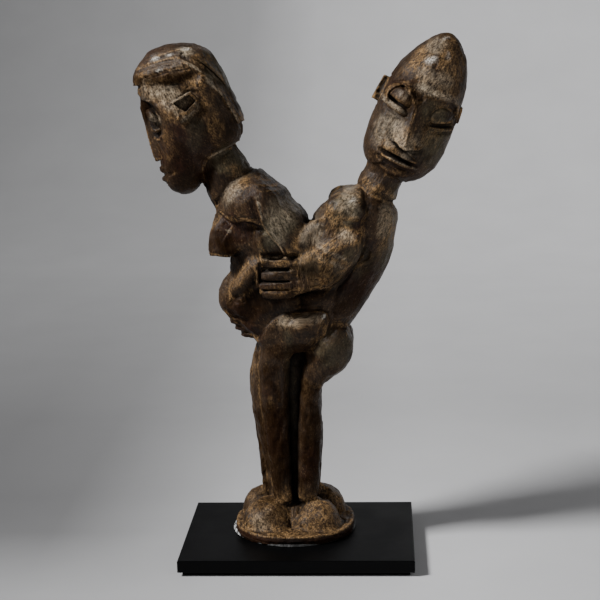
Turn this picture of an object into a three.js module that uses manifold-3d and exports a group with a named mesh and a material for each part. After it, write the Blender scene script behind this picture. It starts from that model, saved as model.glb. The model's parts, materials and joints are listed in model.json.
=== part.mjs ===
// A carved couple of the Lobi kind: two leaning figures cut from one forked branch, with the
// round wooden foot carved in one with them, set on a thin dark plinth in a bead of wax.
// Millimetres, +Z up, +X to the viewer's right, +Y away from the viewer.
// The origin is the centre of the plinth's underside.

import * as THREE from 'three';
import { mergeVertices } from 'three/addons/utils/BufferGeometryUtils.js';
import Module from 'manifold-3d';

const wasm = await Module();
wasm.setup();

// Driving dimensions
const PLINTH_WIDTH = 130;
const PLINTH_DEPTH = 91;
const PLATE_THICKNESS = 7;
const PLATE_EDGE = 0.6;
const BASE_THICKNESS = 2.2;
const BASE_INSET = 2.5;
const PLINTH_HEIGHT = PLATE_THICKNESS + BASE_THICKNESS;

const CLEARANCE = 0.3;
const FIGURE_BACK = 8;

const FOOT_CENTRE_X = -3;
const FOOT_RADIUS_X = 34;
const FOOT_RADIUS_Y = 33;
const FOOT_THICKNESS = 5.4;
const FOOT_EDGE = 1.1;

const WAX_WIDTH = 0.9;
const WAX_HEIGHT = 1;
const WAX_LEFT_SWELL = 2;

// The man's head is carved upright round its own tip and then leans with the branch.
const MAN_TIP = [85.3, 0, 279.2];
const MAN_LEAN = THREE.MathUtils.degToRad(22.4);
const MAN_TURN = THREE.MathUtils.degToRad(6);

// The woman's face is carved facing the viewer and then turned to look along the left.
const WOMAN_FACE = [-57.5, 0, 250.2];
const WOMAN_NOD = THREE.MathUtils.degToRad(13);

// A station across a form: its centre, its reach to the left and right of the spine as the
// viewer sees it going down, and its reach towards the viewer (front) and away (back).
function at(x, y, z, left, right = left, front = left, back = front) {
  return [x, y, z, left, right, front, back];
}

// The same form on the far side of the couple.
function farSide(stations) {
  return stations.map(([x, y, z, left, right, front, back]) => [x, -y, z, left, right, back, front]);
}

function smoothStep(a, b, c, d, t) {
  return b + 0.5 * t * (c - a + t * (2 * a - 5 * b + 4 * c - d + t * (3 * (b - c) + d - a)));
}

// Reads the stations at a fraction of the way along them, as one smooth curve.
function along(stations, fraction) {
  const last = stations.length - 1;
  const place = Math.min(Math.max(fraction, 0), 1) * last;
  const k = Math.min(Math.floor(place), last - 1);
  const before = stations[Math.max(k - 1, 0)];
  const after = stations[Math.min(k + 2, last)];
  return stations[k].map((v, i) => smoothStep(before[i], v, stations[k + 1][i], after[i], place - k));
}

function roundEnd(distance, length) {
  const rest = 1 - Math.min(distance / length, 1);
  return Math.sqrt(Math.max(1 - rest * rest, 0));
}

// A solid from a closed three.js geometry.
function solid(geometry) {
  geometry.deleteAttribute('normal');
  geometry.deleteAttribute('uv');
  const merged = mergeVertices(geometry, 1e-4);
  const vertProperties = merged.attributes.position.array;
  const triVerts = merged.index.array;
  return new wasm.Manifold(new wasm.Mesh({ numProp: 3, vertProperties, triVerts }));
}

// A carved form: a sphere drawn out along the stations. edge sets how square its section is
// (2 is round, more is squarer, less is keeled), ends how far the rounding of each end runs.
function form(stations, { sides = 8, rings = 6, edge = 2, ends = [0.15, 0.15], grow = 0, frame } = {}) {
  const geometry = new THREE.SphereGeometry(1, sides, rings);
  const points = geometry.attributes.position;
  const step = 0.01;
  for (let i = 0; i < points.count; i++) {
    const fraction = (1 - points.getY(i)) / 2;
    const [x, y, z, left, right, front, back] = along(stations, fraction);
    const ahead = along(stations, fraction + step);
    const behind = along(stations, fraction - step);
    const run = Math.hypot(ahead[0] - behind[0], ahead[2] - behind[2]);
    const sideX = (behind[2] - ahead[2]) / run;
    const sideZ = (ahead[0] - behind[0]) / run;
    const angle = Math.atan2(-points.getZ(i), points.getX(i));
    const c = Math.cos(angle);
    const s = Math.sin(angle);
    const section = (Math.abs(c) ** edge + Math.abs(s) ** edge) ** (-1 / edge);
    const closing = roundEnd(fraction, ends[0]) * roundEnd(1 - fraction, ends[1]);
    const across = c * section * closing * (grow + (c > 0 ? right : left));
    const deep = s * section * closing * (grow + (s > 0 ? back : front));
    points.setXYZ(i, x + sideX * across, y + deep, z + sideZ * across);
  }
  if (frame) geometry.applyMatrix4(frame);
  return solid(geometry);
}

// An upright cutter or keeper: an outline in the viewer's plane, run through from front to back.
function slab(outline, front, back) {
  const shape = new THREE.Shape(outline.map(([x, z]) => new THREE.Vector2(x, z)));
  const geometry = new THREE.ExtrudeGeometry(shape, { depth: back - front, bevelEnabled: false });
  geometry.rotateX(Math.PI / 2);
  geometry.translate(0, back, 0);
  return solid(geometry);
}

function block(width, depth, height, frame) {
  const geometry = new THREE.BoxGeometry(width, depth, height);
  geometry.applyMatrix4(frame);
  return solid(geometry);
}

// A turn about the front-to-back axis, clockwise as the viewer sees it, and a place.
function placed(x, y, z, clockwise = 0) {
  return new THREE.Matrix4().makeRotationY(clockwise).setPosition(x, y, z);
}

function joined(parts) {
  return parts.reduce((whole, part) => whole.add(part));
}

function without(whole, cuts) {
  return cuts.reduce((rest, cut) => rest.subtract(cut), whole);
}

// One closed eye on the head's surface: a hollow under the arched brow, a full upper lid, a
// slit, and a flat strip of lower lid.
function carveEye(head, f, side, frame) {
  const place = new THREE.Matrix4().makeRotationZ(side * f.eyeTurn);
  place.setPosition(side * f.eyeOut, -f.eyeFront, -f.eyeDown);
  const style = { sides: 8, rings: 5, frame: frame.clone().multiply(place) };
  const half = f.eyeHalf;
  const fall = f.eyeFall * side;
  const wide = half + 1.2;
  const hollow = [at(0, 0, 9, half, half, 3), at(0, 0, 1, wide, wide, 3.4), at(0, 0, -6, half, half, 2.4)];
  const lid = [at(0, 0.6, 7.2, half - 1.4, half - 1.4, 2, 4), at(0, 0.8, 0.2, half, half, 2.8, 4)];
  const strip = [
    at(-half, 1, -2.6 + fall, 1, 1, 2, 3), at(0, 0.6, -3.2, 1.9, 1.9, 2.3, 3),
    at(half, 1, -2.6 - fall, 1, 1, 2, 3),
  ];
  return head.subtract(form(hollow, { ...style, ends: [0.5, 0.5] }))
    .add(form(lid, { ...style, ends: [0.5, 0.25] }))
    .add(form(strip, { ...style, ends: [0.1, 0.1] }));
}

// A straight bar of a lip, bent back round the face towards its ends.
function lip(f, down, thick, out) {
  const half = f.mouthHalf;
  return [
    at(-half, f.lipBend - f.lipFront, -down - 0.5, thick * 0.6, thick * 0.6, out, 3),
    at(-half * 0.4, -f.lipFront, -down, thick, thick, out, 3),
    at(half * 0.4, -f.lipFront, -down, thick, thick, out, 3),
    at(half, f.lipBend - f.lipFront, -down - 0.5, thick * 0.6, thick * 0.6, out, 3),
  ];
}

// A mask-like face looking at the viewer. Sizes run down from the head's origin; the ...Front
// sizes are where the head's surface lies in front of its middle, and frame sets it on its head.
function carveFace(head, f, frame) {
  const eyes = carveEye(carveEye(head, f, -1, frame), f, 1, frame);
  const ridge = 7;
  const noseAt = (down, k) => {
    return at(0, ridge - f.noseFront[k], -down, f.noseHalf[k], f.noseHalf[k], ridge, 3);
  };
  const middle = (f.noseTop + f.noseFoot) / 2;
  const nose = [noseAt(f.noseTop, 0), noseAt(middle, 1), noseAt(f.noseFoot - 4, 2), noseAt(f.noseFoot, 2)];
  const features = { sides: 8, rings: 5, frame };
  return joined([
    eyes,
    form(nose, { ...features, edge: 1.5, ends: [0.1, 0.05] }),
    form(lip(f, f.upperLip, 2.1, f.lipOut), { ...features, edge: 2.6 }),
    form(lip(f, f.lowerLip, 1.7, f.lipOut - 0.4), { ...features, edge: 2.6 }),
  ]);
}

// The man's head: a tall cone of a skull over a broad flat face.
function manHead() {
  const frame = new THREE.Matrix4().makeRotationY(MAN_LEAN).setPosition(...MAN_TIP);
  const turned = frame.clone().multiply(new THREE.Matrix4().makeRotationZ(MAN_TURN));
  const skull = [
    at(1, -2, 0.5, 6, 6.5, 5, 6), at(1.4, 0, -12, 14.5, 15, 12, 13), at(1, 0, -24, 18.6, 20, 17.5, 21),
    at(0, 0, -36, 19.8, 21.6, 19, 25), at(0, 0, -48, 20.8, 22.6, 18, 25), at(0, 0, -60, 21.2, 22.4, 17.5, 21),
    at(0, 0, -71, 19.6, 20.4, 16.5, 15), at(1, 0, -84.5, 12, 12, 11, 10),
  ];
  const head = form(skull, { sides: 18, rings: 15, edge: 2.2, ends: [0.07, 0.1], frame });
  const face = {
    eyeOut: 11.2, eyeDown: 41.5, eyeFront: 16.6, eyeTurn: 0.35, eyeHalf: 7.2, eyeFall: -0.4,
    noseTop: 36, noseFoot: 64, noseHalf: [3, 5.2, 9], noseFront: [19, 21, 24.5],
    lipFront: 17, lipBend: 3, lipOut: 2.8, upperLip: 67.6, lowerLip: 73, mouthHalf: 11.5,
  };
  const ears = [-1, 1].map((side) => {
    const place = placed(side * 21.4, 3, -40, side * -0.1);
    return block(5.4, 8, 12.5, frame.clone().multiply(place));
  });
  return carveFace(joined([head, ...ears]), face, turned);
}

// The woman's head looks along the left and nods, under a thick cap of hair.
function womanHead() {
  const skull = [
    at(-57, 0, 270, 15, 12, 10), at(-57, 0, 260, 22, 18, 15), at(-57, 0, 252, 24, 22, 17.5),
    at(-57, 0, 244, 24.5, 25, 19.5), at(-57, 0, 235, 21.5, 27.8, 20), at(-57, 0, 226, 18, 28.2, 18.5),
    at(-58, 0, 217, 14.5, 18, 15), at(-59.5, 0, 206.5, 11.5, 12, 11.5), at(-60.5, 0, 195.3, 7.5, 8.5, 7.5),
  ];
  const head = form(skull, { sides: 16, rings: 14, ends: [0.1, 0.1] });
  const look = new THREE.Matrix4().makeRotationY(-WOMAN_NOD);
  look.multiply(new THREE.Matrix4().makeRotationZ(-Math.PI / 2));
  look.setPosition(...WOMAN_FACE);
  const face = {
    eyeOut: 10.4, eyeDown: 9.5, eyeFront: 19.6, eyeTurn: 0.62, eyeHalf: 6.2, eyeFall: 0.4,
    noseTop: -2, noseFoot: 30, noseHalf: [3.6, 4, 6.6], noseFront: [25.5, 25.7, 26],
    lipFront: 21.6, lipBend: 4.5, lipOut: 2.8, upperLip: 37.2, lowerLip: 42.6, mouthHalf: 8.5,
  };
  return joined([carveFace(head, face, look), hair(), ...ears()]);
}

const HAIR_EDGE = [
  [-92, 253.4], [-84, 253.4], [-78, 255], [-66, 257], [-58, 258.8], [-52, 261], [-46, 257.5],
  [-41, 252], [-36.8, 244.5], [-33, 236], [-30, 231.8], [-25.5, 233.8], [-15, 236], [-15, 290], [-92, 290],
];
const HAIR_GROOVE = [
  [-55, 268.5], [-50, 265.2], [-45, 260.4], [-39.5, 253.5], [-35, 245.5], [-30.5, 235], [-28, 230],
  [-26, 232], [-28.5, 237], [-33, 247], [-37.5, 255.2], [-43, 262.4], [-48.5, 267.4], [-54, 270.2],
];
const HAIR_ROLL = [[-90, 263], [-80, 265.4], [-66, 268], [-66, 266.6], [-80, 263.6], [-90, 260.8]];
const HAIR_DEEP = 34;
const GROOVE_DEEP = 1.5;

function hair() {
  const cap = [
    at(-57, 0, 276.8, 17, 12, 11), at(-57, 0, 270, 22.5, 17.2, 17), at(-57, 0, 262, 27.6, 21, 22),
    at(-57, 0, 254, 27.6, 24.4, 24), at(-57, 0, 246, 27, 27.8, 23.5), at(-57, 0, 238, 26, 31, 22.6),
    at(-57, 0, 228, 25, 34, 21),
  ];
  const style = { sides: 16, rings: 12, ends: [0.12, 0.04] };
  const mass = form(cap, style).intersect(slab(HAIR_EDGE, -HAIR_DEEP, HAIR_DEEP));
  const core = form(cap, { ...style, grow: -GROOVE_DEEP });
  const cuts = [HAIR_GROOVE, HAIR_ROLL].map((line) => slab(line, -HAIR_DEEP, HAIR_DEEP).subtract(core));
  return without(mass, cuts);
}

// Each ear is a raised slanting block with a square hollow and a lip under it.
function ears() {
  const lean = THREE.MathUtils.degToRad(-27);
  return [-1, 1].map((side) => {
    const shell = block(12, 7, 11, placed(-55.6, side * 20.5, 244.4, lean));
    const hollow = block(9, 5, 6.6, placed(-56.2, side * 23.4, 246, lean));
    return shell.subtract(hollow);
  });
}

function womanBody() {
  const neck = [
    at(-43, 0, 220, 12.5, 13, 11), at(-38.5, 0, 210, 13.4, 13.4, 11), at(-33.5, 0, 200, 13.8, 13.8, 12),
    at(-27, 0, 188, 14, 14, 13),
  ];
  const trunk = [
    at(-19, 0, 208.5, 8, 9, 12), at(-21, 0, 199, 17, 15.5, 19), at(-20, 0, 189, 21.5, 19.6, 22.5),
    at(-18, 0, 178, 23, 25.4, 21.5), at(-15, 0, 166, 21, 26, 19), at(-14, 0, 154, 21.5, 24, 17),
    at(-13, 0, 142, 24, 22, 17), at(-12, 0, 130, 23, 22, 18), at(-10, 0, 118, 15, 22, 18),
    at(-8, 0, 106, 12, 18, 16),
  ];
  const belly = [at(-25, 0, 150, 10, 8, 11), at(-27, 0, 138, 15.5, 12, 15), at(-26, 0, 122, 12.5, 10, 13)];
  const breast = [at(-29, -9, 190, 8, 7, 8), at(-34.5, -10, 174, 9.5, 10, 9), at(-40, -9, 158, 6.5, 8, 6.5)];
  const underBreast = slab([[-56, 150], [-56, 161], [-37, 160.6], [-36.4, 157], [-36, 150]], -30, 30);
  const breasts = [breast, farSide(breast)].map((b) => form(b, { ends: [0.3, 0.08] }).subtract(underBreast));
  return joined([
    form(neck, { sides: 14, rings: 4 }),
    form(trunk, { sides: 14, rings: 12, edge: 2.3, ends: [0.14, 0.1] }),
    form(belly, { sides: 12, rings: 6, ends: [0.3, 0.4] }),
    ...breasts, ...bothSides(womanArm), ...fingerTips(),
  ]);
}

function bothSides(make) {
  return [...make((stations) => stations), ...make(farSide)];
}

// The woman's arm hangs against her side and turns forward under the breast to a closed hand.
function womanArm(side) {
  const upper = [
    at(-27, -15, 202, 7, 7, 7), at(-23, -19, 190, 9, 8, 6), at(-16, -19.5, 174, 6.5, 7, 5),
    at(-12, -17, 158, 6, 7, 5),
  ];
  const fore = [at(-12, -16, 163, 5, 5, 5), at(-21, -16, 152, 4.5, 4.5, 5), at(-31, -13, 139, 4.5, 4.5, 5)];
  const hand = [at(-29, -12, 144, 5, 5, 5), at(-28, -14, 135, 6.5, 7, 5), at(-26, -12, 126, 5, 5, 5)];
  return [form(side(upper), { ends: [0.3, 0.2] }), form(side(fore)), form(side(hand), { ends: [0.4, 0.4] })];
}

// The fingers that show one below the other under the belly.
function fingerTips() {
  return [0, 1, 2].map((k) => {
    const x = -31.6 + k * 3.3;
    const z = 123.4 - k * 3.8;
    const finger = [
      at(x - 5.6, 2, z, 1.8, 1.8, 5), at(x, 2, z - 0.4, 2.4, 2.4, 9), at(x + 8, 2, z, 2.6, 2.6, 9),
    ];
    return form(finger, { sides: 6, rings: 4, ends: [0.2, 0.2] });
  });
}

function manBody() {
  const neck = [at(56, 0, 212, 10, 10, 10), at(50, 0, 203, 11, 11, 11), at(45.5, 0, 192, 11.6, 11.6, 12)];
  const trunk = [
    at(44, 0, 197, 8, 10, 10), at(41, 0, 189, 18, 17.4, 19), at(38, 0, 178, 24.5, 19.6, 21.5),
    at(32.5, 0, 165, 26, 22.4, 20), at(25.5, 0, 151, 24, 21.6, 18), at(18, 0, 137, 20, 20.6, 18),
    at(12, 0, 125, 18, 17.6, 18), at(7, 0, 112, 14, 16, 17),
  ];
  return joined([
    form(neck, { sides: 12, rings: 4 }),
    form(trunk, { sides: 14, rings: 11, edge: 2.3, ends: [0.14, 0.14] }),
    ...bothSides(manArm),
  ]);
}

// The man's arm comes down from a round shoulder and reaches forward to the woman's waist.
function manArm(side) {
  const shoulder = [
    at(31.5, -15, 193.5, 8, 7, 7), at(29.5, -18.5, 186, 10.5, 10, 7.5), at(30, -19, 177, 8, 9, 6),
  ];
  const upper = [at(31, -18, 188, 8, 8, 7), at(31, -20.5, 172, 8, 7, 6.5), at(30, -20, 159, 8, 6, 6.5)];
  const fore = [
    at(34, -18, 163, 8, 8, 6), at(24, -20, 161, 9.6, 9.6, 7), at(12, -20, 155.5, 9.6, 9.6, 6.4),
    at(1, -19.5, 151, 9.4, 9.4, 5.6),
  ];
  const fingers = [0, 1, 2, 3].map((k) => {
    const z = 158.6 - k * 5.7;
    const long = [17, 20, 20.5, 18][k];
    return [
      at(4, -19.5, z, 2.5, 2.5, 5), at(4 - long * 0.5, -21, z - 0.3, 2.7, 2.7, 4.8),
      at(4 - long, -18.5, z - 0.6, 2.6, 2.6, 4.4),
    ];
  });
  return [
    form(side(shoulder), { ends: [0.4, 0.3] }), form(side(upper)),
    form(side(fore), { edge: 2.6, ends: [0.2, 0.1] }),
    ...fingers.map((f) => form(side(f), { sides: 6, rings: 4, edge: 2.6, ends: [0.1, 0.2] })),
  ];
}

// Hips and seats, one of each for either side.
function hips(side) {
  const womanHip = [at(-16, -7, 115, 13, 13, 10), at(0, -9, 118.5, 13, 15, 11), at(20, -8, 124, 11.5, 11, 9)];
  const manSeat = [at(10, -7, 120, 10, 9, 9), at(18.5, -8, 110, 13, 13.8, 11.5), at(12, -7, 92, 11, 11, 9)];
  const rounded = { sides: 11, rings: 6 };
  return [
    form(side(womanHip), { ...rounded, ends: [0.3, 0.3] }),
    form(side(manSeat), { ...rounded, ends: [0.4, 0.4] }),
  ];
}

function legs() {
  const womanNear = [
    at(-10, -4, 116, 8, 9, 8), at(-11.5, -5, 98, 9, 8, 7.5), at(-12, -5, 82, 8.5, 8, 7),
    at(-10.5, -5, 55, 7.5, 6.5, 6), at(-9.5, -5, 12, 6, 6, 6),
  ];
  const womanFar = [
    at(-10, 6, 116, 9, 9, 8), at(-17, 7.5, 98, 8.5, 8, 7.5), at(-19.2, 7.5, 82, 8, 8, 7),
    at(-17, 7.5, 55, 7.5, 6.5, 6), at(-15, 7.5, 12, 6, 6, 6),
  ];
  const manNear = [
    at(16, -5, 106, 8, 8, 8), at(9.4, -5, 93, 8, 6.6, 7.5), at(7, -5, 80, 7, 6, 7),
    at(6, -5, 55, 5.6, 5.6, 6), at(3.6, -5, 12, 4.6, 5, 6),
  ];
  const manFar = [
    at(16, 6, 106, 8, 8, 8), at(9.4, 7.5, 93, 7, 6.6, 7.5), at(7, 7.5, 80, 6.6, 6.2, 7),
    at(7.2, 7.5, 50, 5.6, 6, 6), at(5, 7.5, 12, 5, 5, 6),
  ];
  const web = [at(-3, 3, 112, 8, 10, 5), at(-3, 3, 60, 8, 8, 4), at(-3, 3, 12, 7, 7, 4)];
  const style = { rings: 8, edge: 2.4, ends: [0.1, 0.05] };
  const carved = [womanNear, womanFar, manNear, manFar].map((leg) => form(leg, style));
  return [...carved, form(web, { sides: 6, rings: 4, edge: 3, ends: [0.1, 0.05] })];
}

// The round foot, with one rounded toe-less foot for each leg on it.
function foot() {
  const profile = [
    [0, CLEARANCE], [1 - FOOT_EDGE / FOOT_RADIUS_X, CLEARANCE], [1, CLEARANCE + FOOT_EDGE],
    [1, FOOT_THICKNESS - FOOT_EDGE], [1 - FOOT_EDGE / FOOT_RADIUS_X, FOOT_THICKNESS], [0, FOOT_THICKNESS],
  ];
  const disc = new THREE.LatheGeometry(profile.map(([r, z]) => new THREE.Vector2(r, z)), 32);
  disc.rotateX(Math.PI / 2);
  disc.scale(FOOT_RADIUS_X, FOOT_RADIUS_Y, 1);
  disc.translate(FOOT_CENTRE_X, 0, 0);
  const mounds = [[-16, -7, 14.5, 11.5], [9.5, -7, 15, 11.5], [-18, 9, 15, 13], [9, 9, 14.5, 13]];
  const feet = mounds.map(([x, y, wide, deep]) => {
    const crown = at(x + (x < 0 ? 4 : -4), y + 2, 21, wide * 0.55, wide * 0.55, deep * 0.6);
    const stations = [crown, at(x, y, 11, wide, wide, deep), at(x, y, 1.5, wide, wide, deep)];
    return form(stations, { sides: 10, rings: 6, ends: [0.5, 0.05] });
  });
  return [solid(disc), ...feet];
}

// The couple is one solid: any pocket that the joins close off inside it is filled.
function figure() {
  const whole = joined([
    ...foot(), ...legs(), ...bothSides(hips), womanBody(), manBody(), womanHead(), manHead(),
  ]);
  const shells = whole.decompose();
  return shells.reduce((outer, shell) => (shell.volume() > outer.volume() ? shell : outer));
}

// The dark plate with softened edges, on a slightly smaller layer that lifts it off the shelf.
function plinth() {
  const inner = PLATE_EDGE;
  const shape = new THREE.Shape();
  const halfWidth = PLINTH_WIDTH / 2 - inner;
  const halfDepth = PLINTH_DEPTH / 2 - inner;
  shape.moveTo(-halfWidth, -halfDepth);
  shape.lineTo(halfWidth, -halfDepth);
  shape.lineTo(halfWidth, halfDepth);
  shape.lineTo(-halfWidth, halfDepth);
  const plate = new THREE.ExtrudeGeometry(shape, {
    depth: PLATE_THICKNESS - 2 * inner, bevelEnabled: true, bevelSize: inner, bevelThickness: inner,
    bevelSegments: 2,
  });
  plate.translate(0, 0, BASE_THICKNESS + inner);
  const overlap = 1;
  const height = BASE_THICKNESS + overlap;
  const base = block(
    PLINTH_WIDTH - 2 * BASE_INSET, PLINTH_DEPTH - 2 * BASE_INSET, height, placed(0, 0, height / 2));
  return solid(plate).add(base);
}

// A bead of clear wax round the foot, fuller at the left.
function waxBead() {
  const inner = 1;
  const outer = 2;
  const bulge = [1.45, 0.75];
  const profile = [[inner, 0], [outer, 0], bulge, [inner, 1], [inner, 0]];
  const ring = new THREE.LatheGeometry(profile.map(([r, z]) => new THREE.Vector2(r, z)), 32);
  const points = ring.attributes.position;
  for (let i = 0; i < points.count; i++) {
    const x = points.getX(i);
    const y = points.getZ(i);
    const angle = Math.atan2(y, x);
    const fraction = Math.hypot(x, y) - inner;
    const swell = 1 + (WAX_LEFT_SWELL - 1) * Math.max(-Math.cos(angle), 0) ** 4;
    const reach = CLEARANCE + fraction * WAX_WIDTH * swell;
    const height = CLEARANCE + points.getY(i) * WAX_HEIGHT * swell;
    const across = (FOOT_RADIUS_X + reach) * Math.cos(angle);
    const away = (FOOT_RADIUS_Y + reach) * Math.sin(angle);
    points.setXYZ(i, across, height, away);
  }
  ring.rotateX(Math.PI / 2);
  ring.translate(FOOT_CENTRE_X, 0, 0);
  return solid(ring);
}

function meshOf(name, body, look) {
  const mesh = body.getMesh();
  const geometry = new THREE.BufferGeometry();
  geometry.setAttribute('position', new THREE.BufferAttribute(new Float32Array(mesh.vertProperties), 3));
  geometry.setIndex(new THREE.BufferAttribute(new Uint32Array(mesh.triVerts), 1));
  const piece = new THREE.Mesh(geometry, new THREE.MeshStandardMaterial(look));
  piece.name = name;
  return piece;
}

const wood = { color: 0x4a3a2a, roughness: 0.55, metalness: 0 };
const blackPlate = { color: 0x060607, roughness: 0.4, metalness: 0.1 };
const clearWax = { color: 0xb9b7ae, roughness: 0.25, metalness: 0 };

const couple = new THREE.Group();
couple.position.set(0, FIGURE_BACK, PLINTH_HEIGHT);
couple.add(meshOf('figure', figure(), wood));
couple.add(meshOf('mounting_wax', waxBead(), clearWax));

const part = new THREE.Group();
part.add(meshOf('plinth', plinth(), blackPlate));
part.add(couple);

export default part;
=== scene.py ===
import json
import math

import bmesh
import bpy
import numpy as np
from mathutils import Matrix, Vector
from mathutils.kdtree import KDTree

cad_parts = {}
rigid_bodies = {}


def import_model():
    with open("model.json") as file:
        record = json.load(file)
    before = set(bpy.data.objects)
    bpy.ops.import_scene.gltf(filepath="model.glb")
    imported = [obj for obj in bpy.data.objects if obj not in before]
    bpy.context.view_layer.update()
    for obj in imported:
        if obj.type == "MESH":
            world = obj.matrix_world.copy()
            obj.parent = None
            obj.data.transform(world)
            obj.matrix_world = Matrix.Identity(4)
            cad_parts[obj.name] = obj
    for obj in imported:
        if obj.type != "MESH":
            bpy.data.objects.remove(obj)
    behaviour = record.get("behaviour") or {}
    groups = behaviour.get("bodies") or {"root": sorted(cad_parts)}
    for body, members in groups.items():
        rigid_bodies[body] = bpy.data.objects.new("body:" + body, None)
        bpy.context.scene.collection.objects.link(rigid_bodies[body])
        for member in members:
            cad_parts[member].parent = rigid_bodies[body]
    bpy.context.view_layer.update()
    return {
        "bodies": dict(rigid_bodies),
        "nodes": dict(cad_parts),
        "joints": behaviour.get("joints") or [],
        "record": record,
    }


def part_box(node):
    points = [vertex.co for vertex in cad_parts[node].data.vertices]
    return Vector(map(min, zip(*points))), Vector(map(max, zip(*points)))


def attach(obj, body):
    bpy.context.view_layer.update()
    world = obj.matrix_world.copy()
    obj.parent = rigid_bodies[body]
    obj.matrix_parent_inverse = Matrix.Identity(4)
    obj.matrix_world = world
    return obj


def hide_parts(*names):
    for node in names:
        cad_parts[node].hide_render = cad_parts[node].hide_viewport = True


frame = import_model()

# The carving is worked out in millimetres round the middle of its foot's underside, with +X to the
# viewer's right, +Y away from the viewer and +Z up, and is then set on the plinth.
MM = 0.001
FIGURE_BACK = 8.0
PLINTH_LOW, PLINTH_HIGH = (np.array(corner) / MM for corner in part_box("plinth"))
FIGURE_PLACE = np.array((0.0, FIGURE_BACK, PLINTH_HIGH[2]))

STEP = 0.5
GRID_LOW = np.array((-88.0, -34.0, -2.0))
GRID_HIGH = np.array((100.0, 35.0, 283.0))
FAR = 40.0
FACE_LIMIT = 190000

CLEARANCE = 0.3
FOOT_CENTRE_X = -3.0
FOOT_RADIUS_X = 34.0
FOOT_RADIUS_Y = 33.0
FOOT_THICKNESS = 5.4

MAN_TIP = (85.3, 0.0, 279.2)
MAN_LEAN = math.radians(22.4)
MAN_TURN = math.radians(6)
WOMAN_FACE = (-57.5, 0.0, 250.2)
WOMAN_NOD = math.radians(13)


# Carving by distance fields

def at(x, y, z, left, right=None, front=None, back=None):
    """A station across a form: its centre and its reach to the left, right, front and back."""
    right = left if right is None else right
    front = left if front is None else front
    back = front if back is None else back
    return x, y, z, left, right, front, back


def far_side(stations):
    """The same form on the far side of the couple."""
    return [(x, -y, z, left, right, back, front) for x, y, z, left, right, front, back in stations]


def along(stations, fraction):
    """The stations read at fractions of the way along them, as smooth curves."""
    table = np.array(stations, np.float32)
    last = len(table) - 1
    place = np.clip(fraction, 0, 1) * last
    k = np.minimum(place.astype(np.int32), last - 1)
    t = (place - k)[..., None].astype(np.float32)
    a = table[np.maximum(k - 1, 0)]
    b = table[k]
    c = table[k + 1]
    d = table[np.minimum(k + 2, last)]
    return b + 0.5 * t * (c - a + t * (2 * a - 5 * b + 4 * c - d + t * (3 * (b - c) + d - a)))


def on_spine(stations, x, z, segments=28):
    """For places in the spine's plane: how far along it they lie, and how far to its right."""
    knots = along(stations, np.linspace(0, 1, segments + 1))[:, [0, 2]]
    best = np.full(x.shape, np.inf, np.float32)
    fraction = np.zeros(x.shape, np.float32)
    across = np.zeros(x.shape, np.float32)
    for k in range(segments):
        start_x, start_z = knots[k]
        run_x, run_z = knots[k + 1] - knots[k]
        length = math.hypot(run_x, run_z)
        ahead = ((x - start_x) * run_x + (z - start_z) * run_z) / length ** 2
        held = np.clip(ahead, 0, 1)
        gap = np.hypot(x - start_x - held * run_x, z - start_z - held * run_z)
        if k == 0:
            held = np.minimum(ahead, 1)
        if k == segments - 1:
            held = np.maximum(ahead, 0)
        nearer = gap < best
        best = np.where(nearer, gap, best)
        fraction = np.where(nearer, (k + held) / segments, fraction)
        side = ((z - start_z) * run_x - (x - start_x) * run_z) / length
        across = np.where(nearer, side, across)
    return fraction, across


def local_places(frame_matrix, box):
    """The box's places as a turned frame sees them; an axis that drops out isn't spread over."""
    if frame_matrix is None:
        return box
    back = np.array(frame_matrix.inverted())
    places = []
    for row in back[:3]:
        terms = [row[i] * box[i] for i in range(3) if abs(row[i]) > 1e-7]
        places.append((sum(terms) + row[3]).astype(np.float32))
    return places


class Form:
    """A drawn-out rounded form along stations. edge sets how square its section is, ends how far
    the rounding of each end runs, grow thickens it, and frame turns and places it."""

    def __init__(self, stations, edge=2.0, ends=(0.15, 0.15), grow=0.0, frame=None):
        self.stations = [(x, y, z, *(reach + grow for reach in rest)) for x, y, z, *rest in stations]
        self.edge = edge
        self.ends = ends
        self.frame = frame
        centres = along(self.stations, np.linspace(0, 1, 24))
        reach = centres[:, 3:].max(1)[:, None] * 1.05
        self.set_bounds(np.concatenate([centres[:, :3] - reach, centres[:, :3] + reach]))

    def set_bounds(self, points):
        if self.frame is not None:
            low, high = points.min(0), points.max(0)
            corners = [(x, y, z) for x in (low[0], high[0]) for y in (low[1], high[1]) for z in (low[2], high[2])]
            points = np.array([self.frame @ Vector(corner) for corner in corners])
        self.low = points.min(0)
        self.high = points.max(0)

    def distance(self, box):
        x, y, z = local_places(self.frame, box)
        x, z = np.broadcast_arrays(x, z)
        fraction, across = on_spine(self.stations, x, z)
        station = along(self.stations, fraction)
        left, right, front, back = (station[..., i] for i in range(3, 7))
        wide = np.abs(across) / np.where(across > 0, right, left)
        aside = y - station[..., 1]
        deep = np.abs(aside) / np.where(aside > 0, back, front)
        if self.edge == 2:
            reach = wide * wide + deep * deep
        else:
            reach = (wide ** self.edge + deep ** self.edge) ** (2 / self.edge)
        for over, end in ((fraction, self.ends[0]), (1 - fraction, self.ends[1])):
            reach = reach + np.maximum(1 - over / end, 0) ** 2
        shape = np.broadcast_shapes(*(part.shape for part in box))
        return true_distance(np.broadcast_to(np.sqrt(reach) - 1, shape))


def true_distance(value):
    """A field that is nought on the surface, scaled to read as millimetres near it."""
    slope = np.sqrt(sum(part * part for part in np.gradient(value, STEP)))
    return (value / np.maximum(slope, 1e-3)).astype(np.float32)


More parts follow.
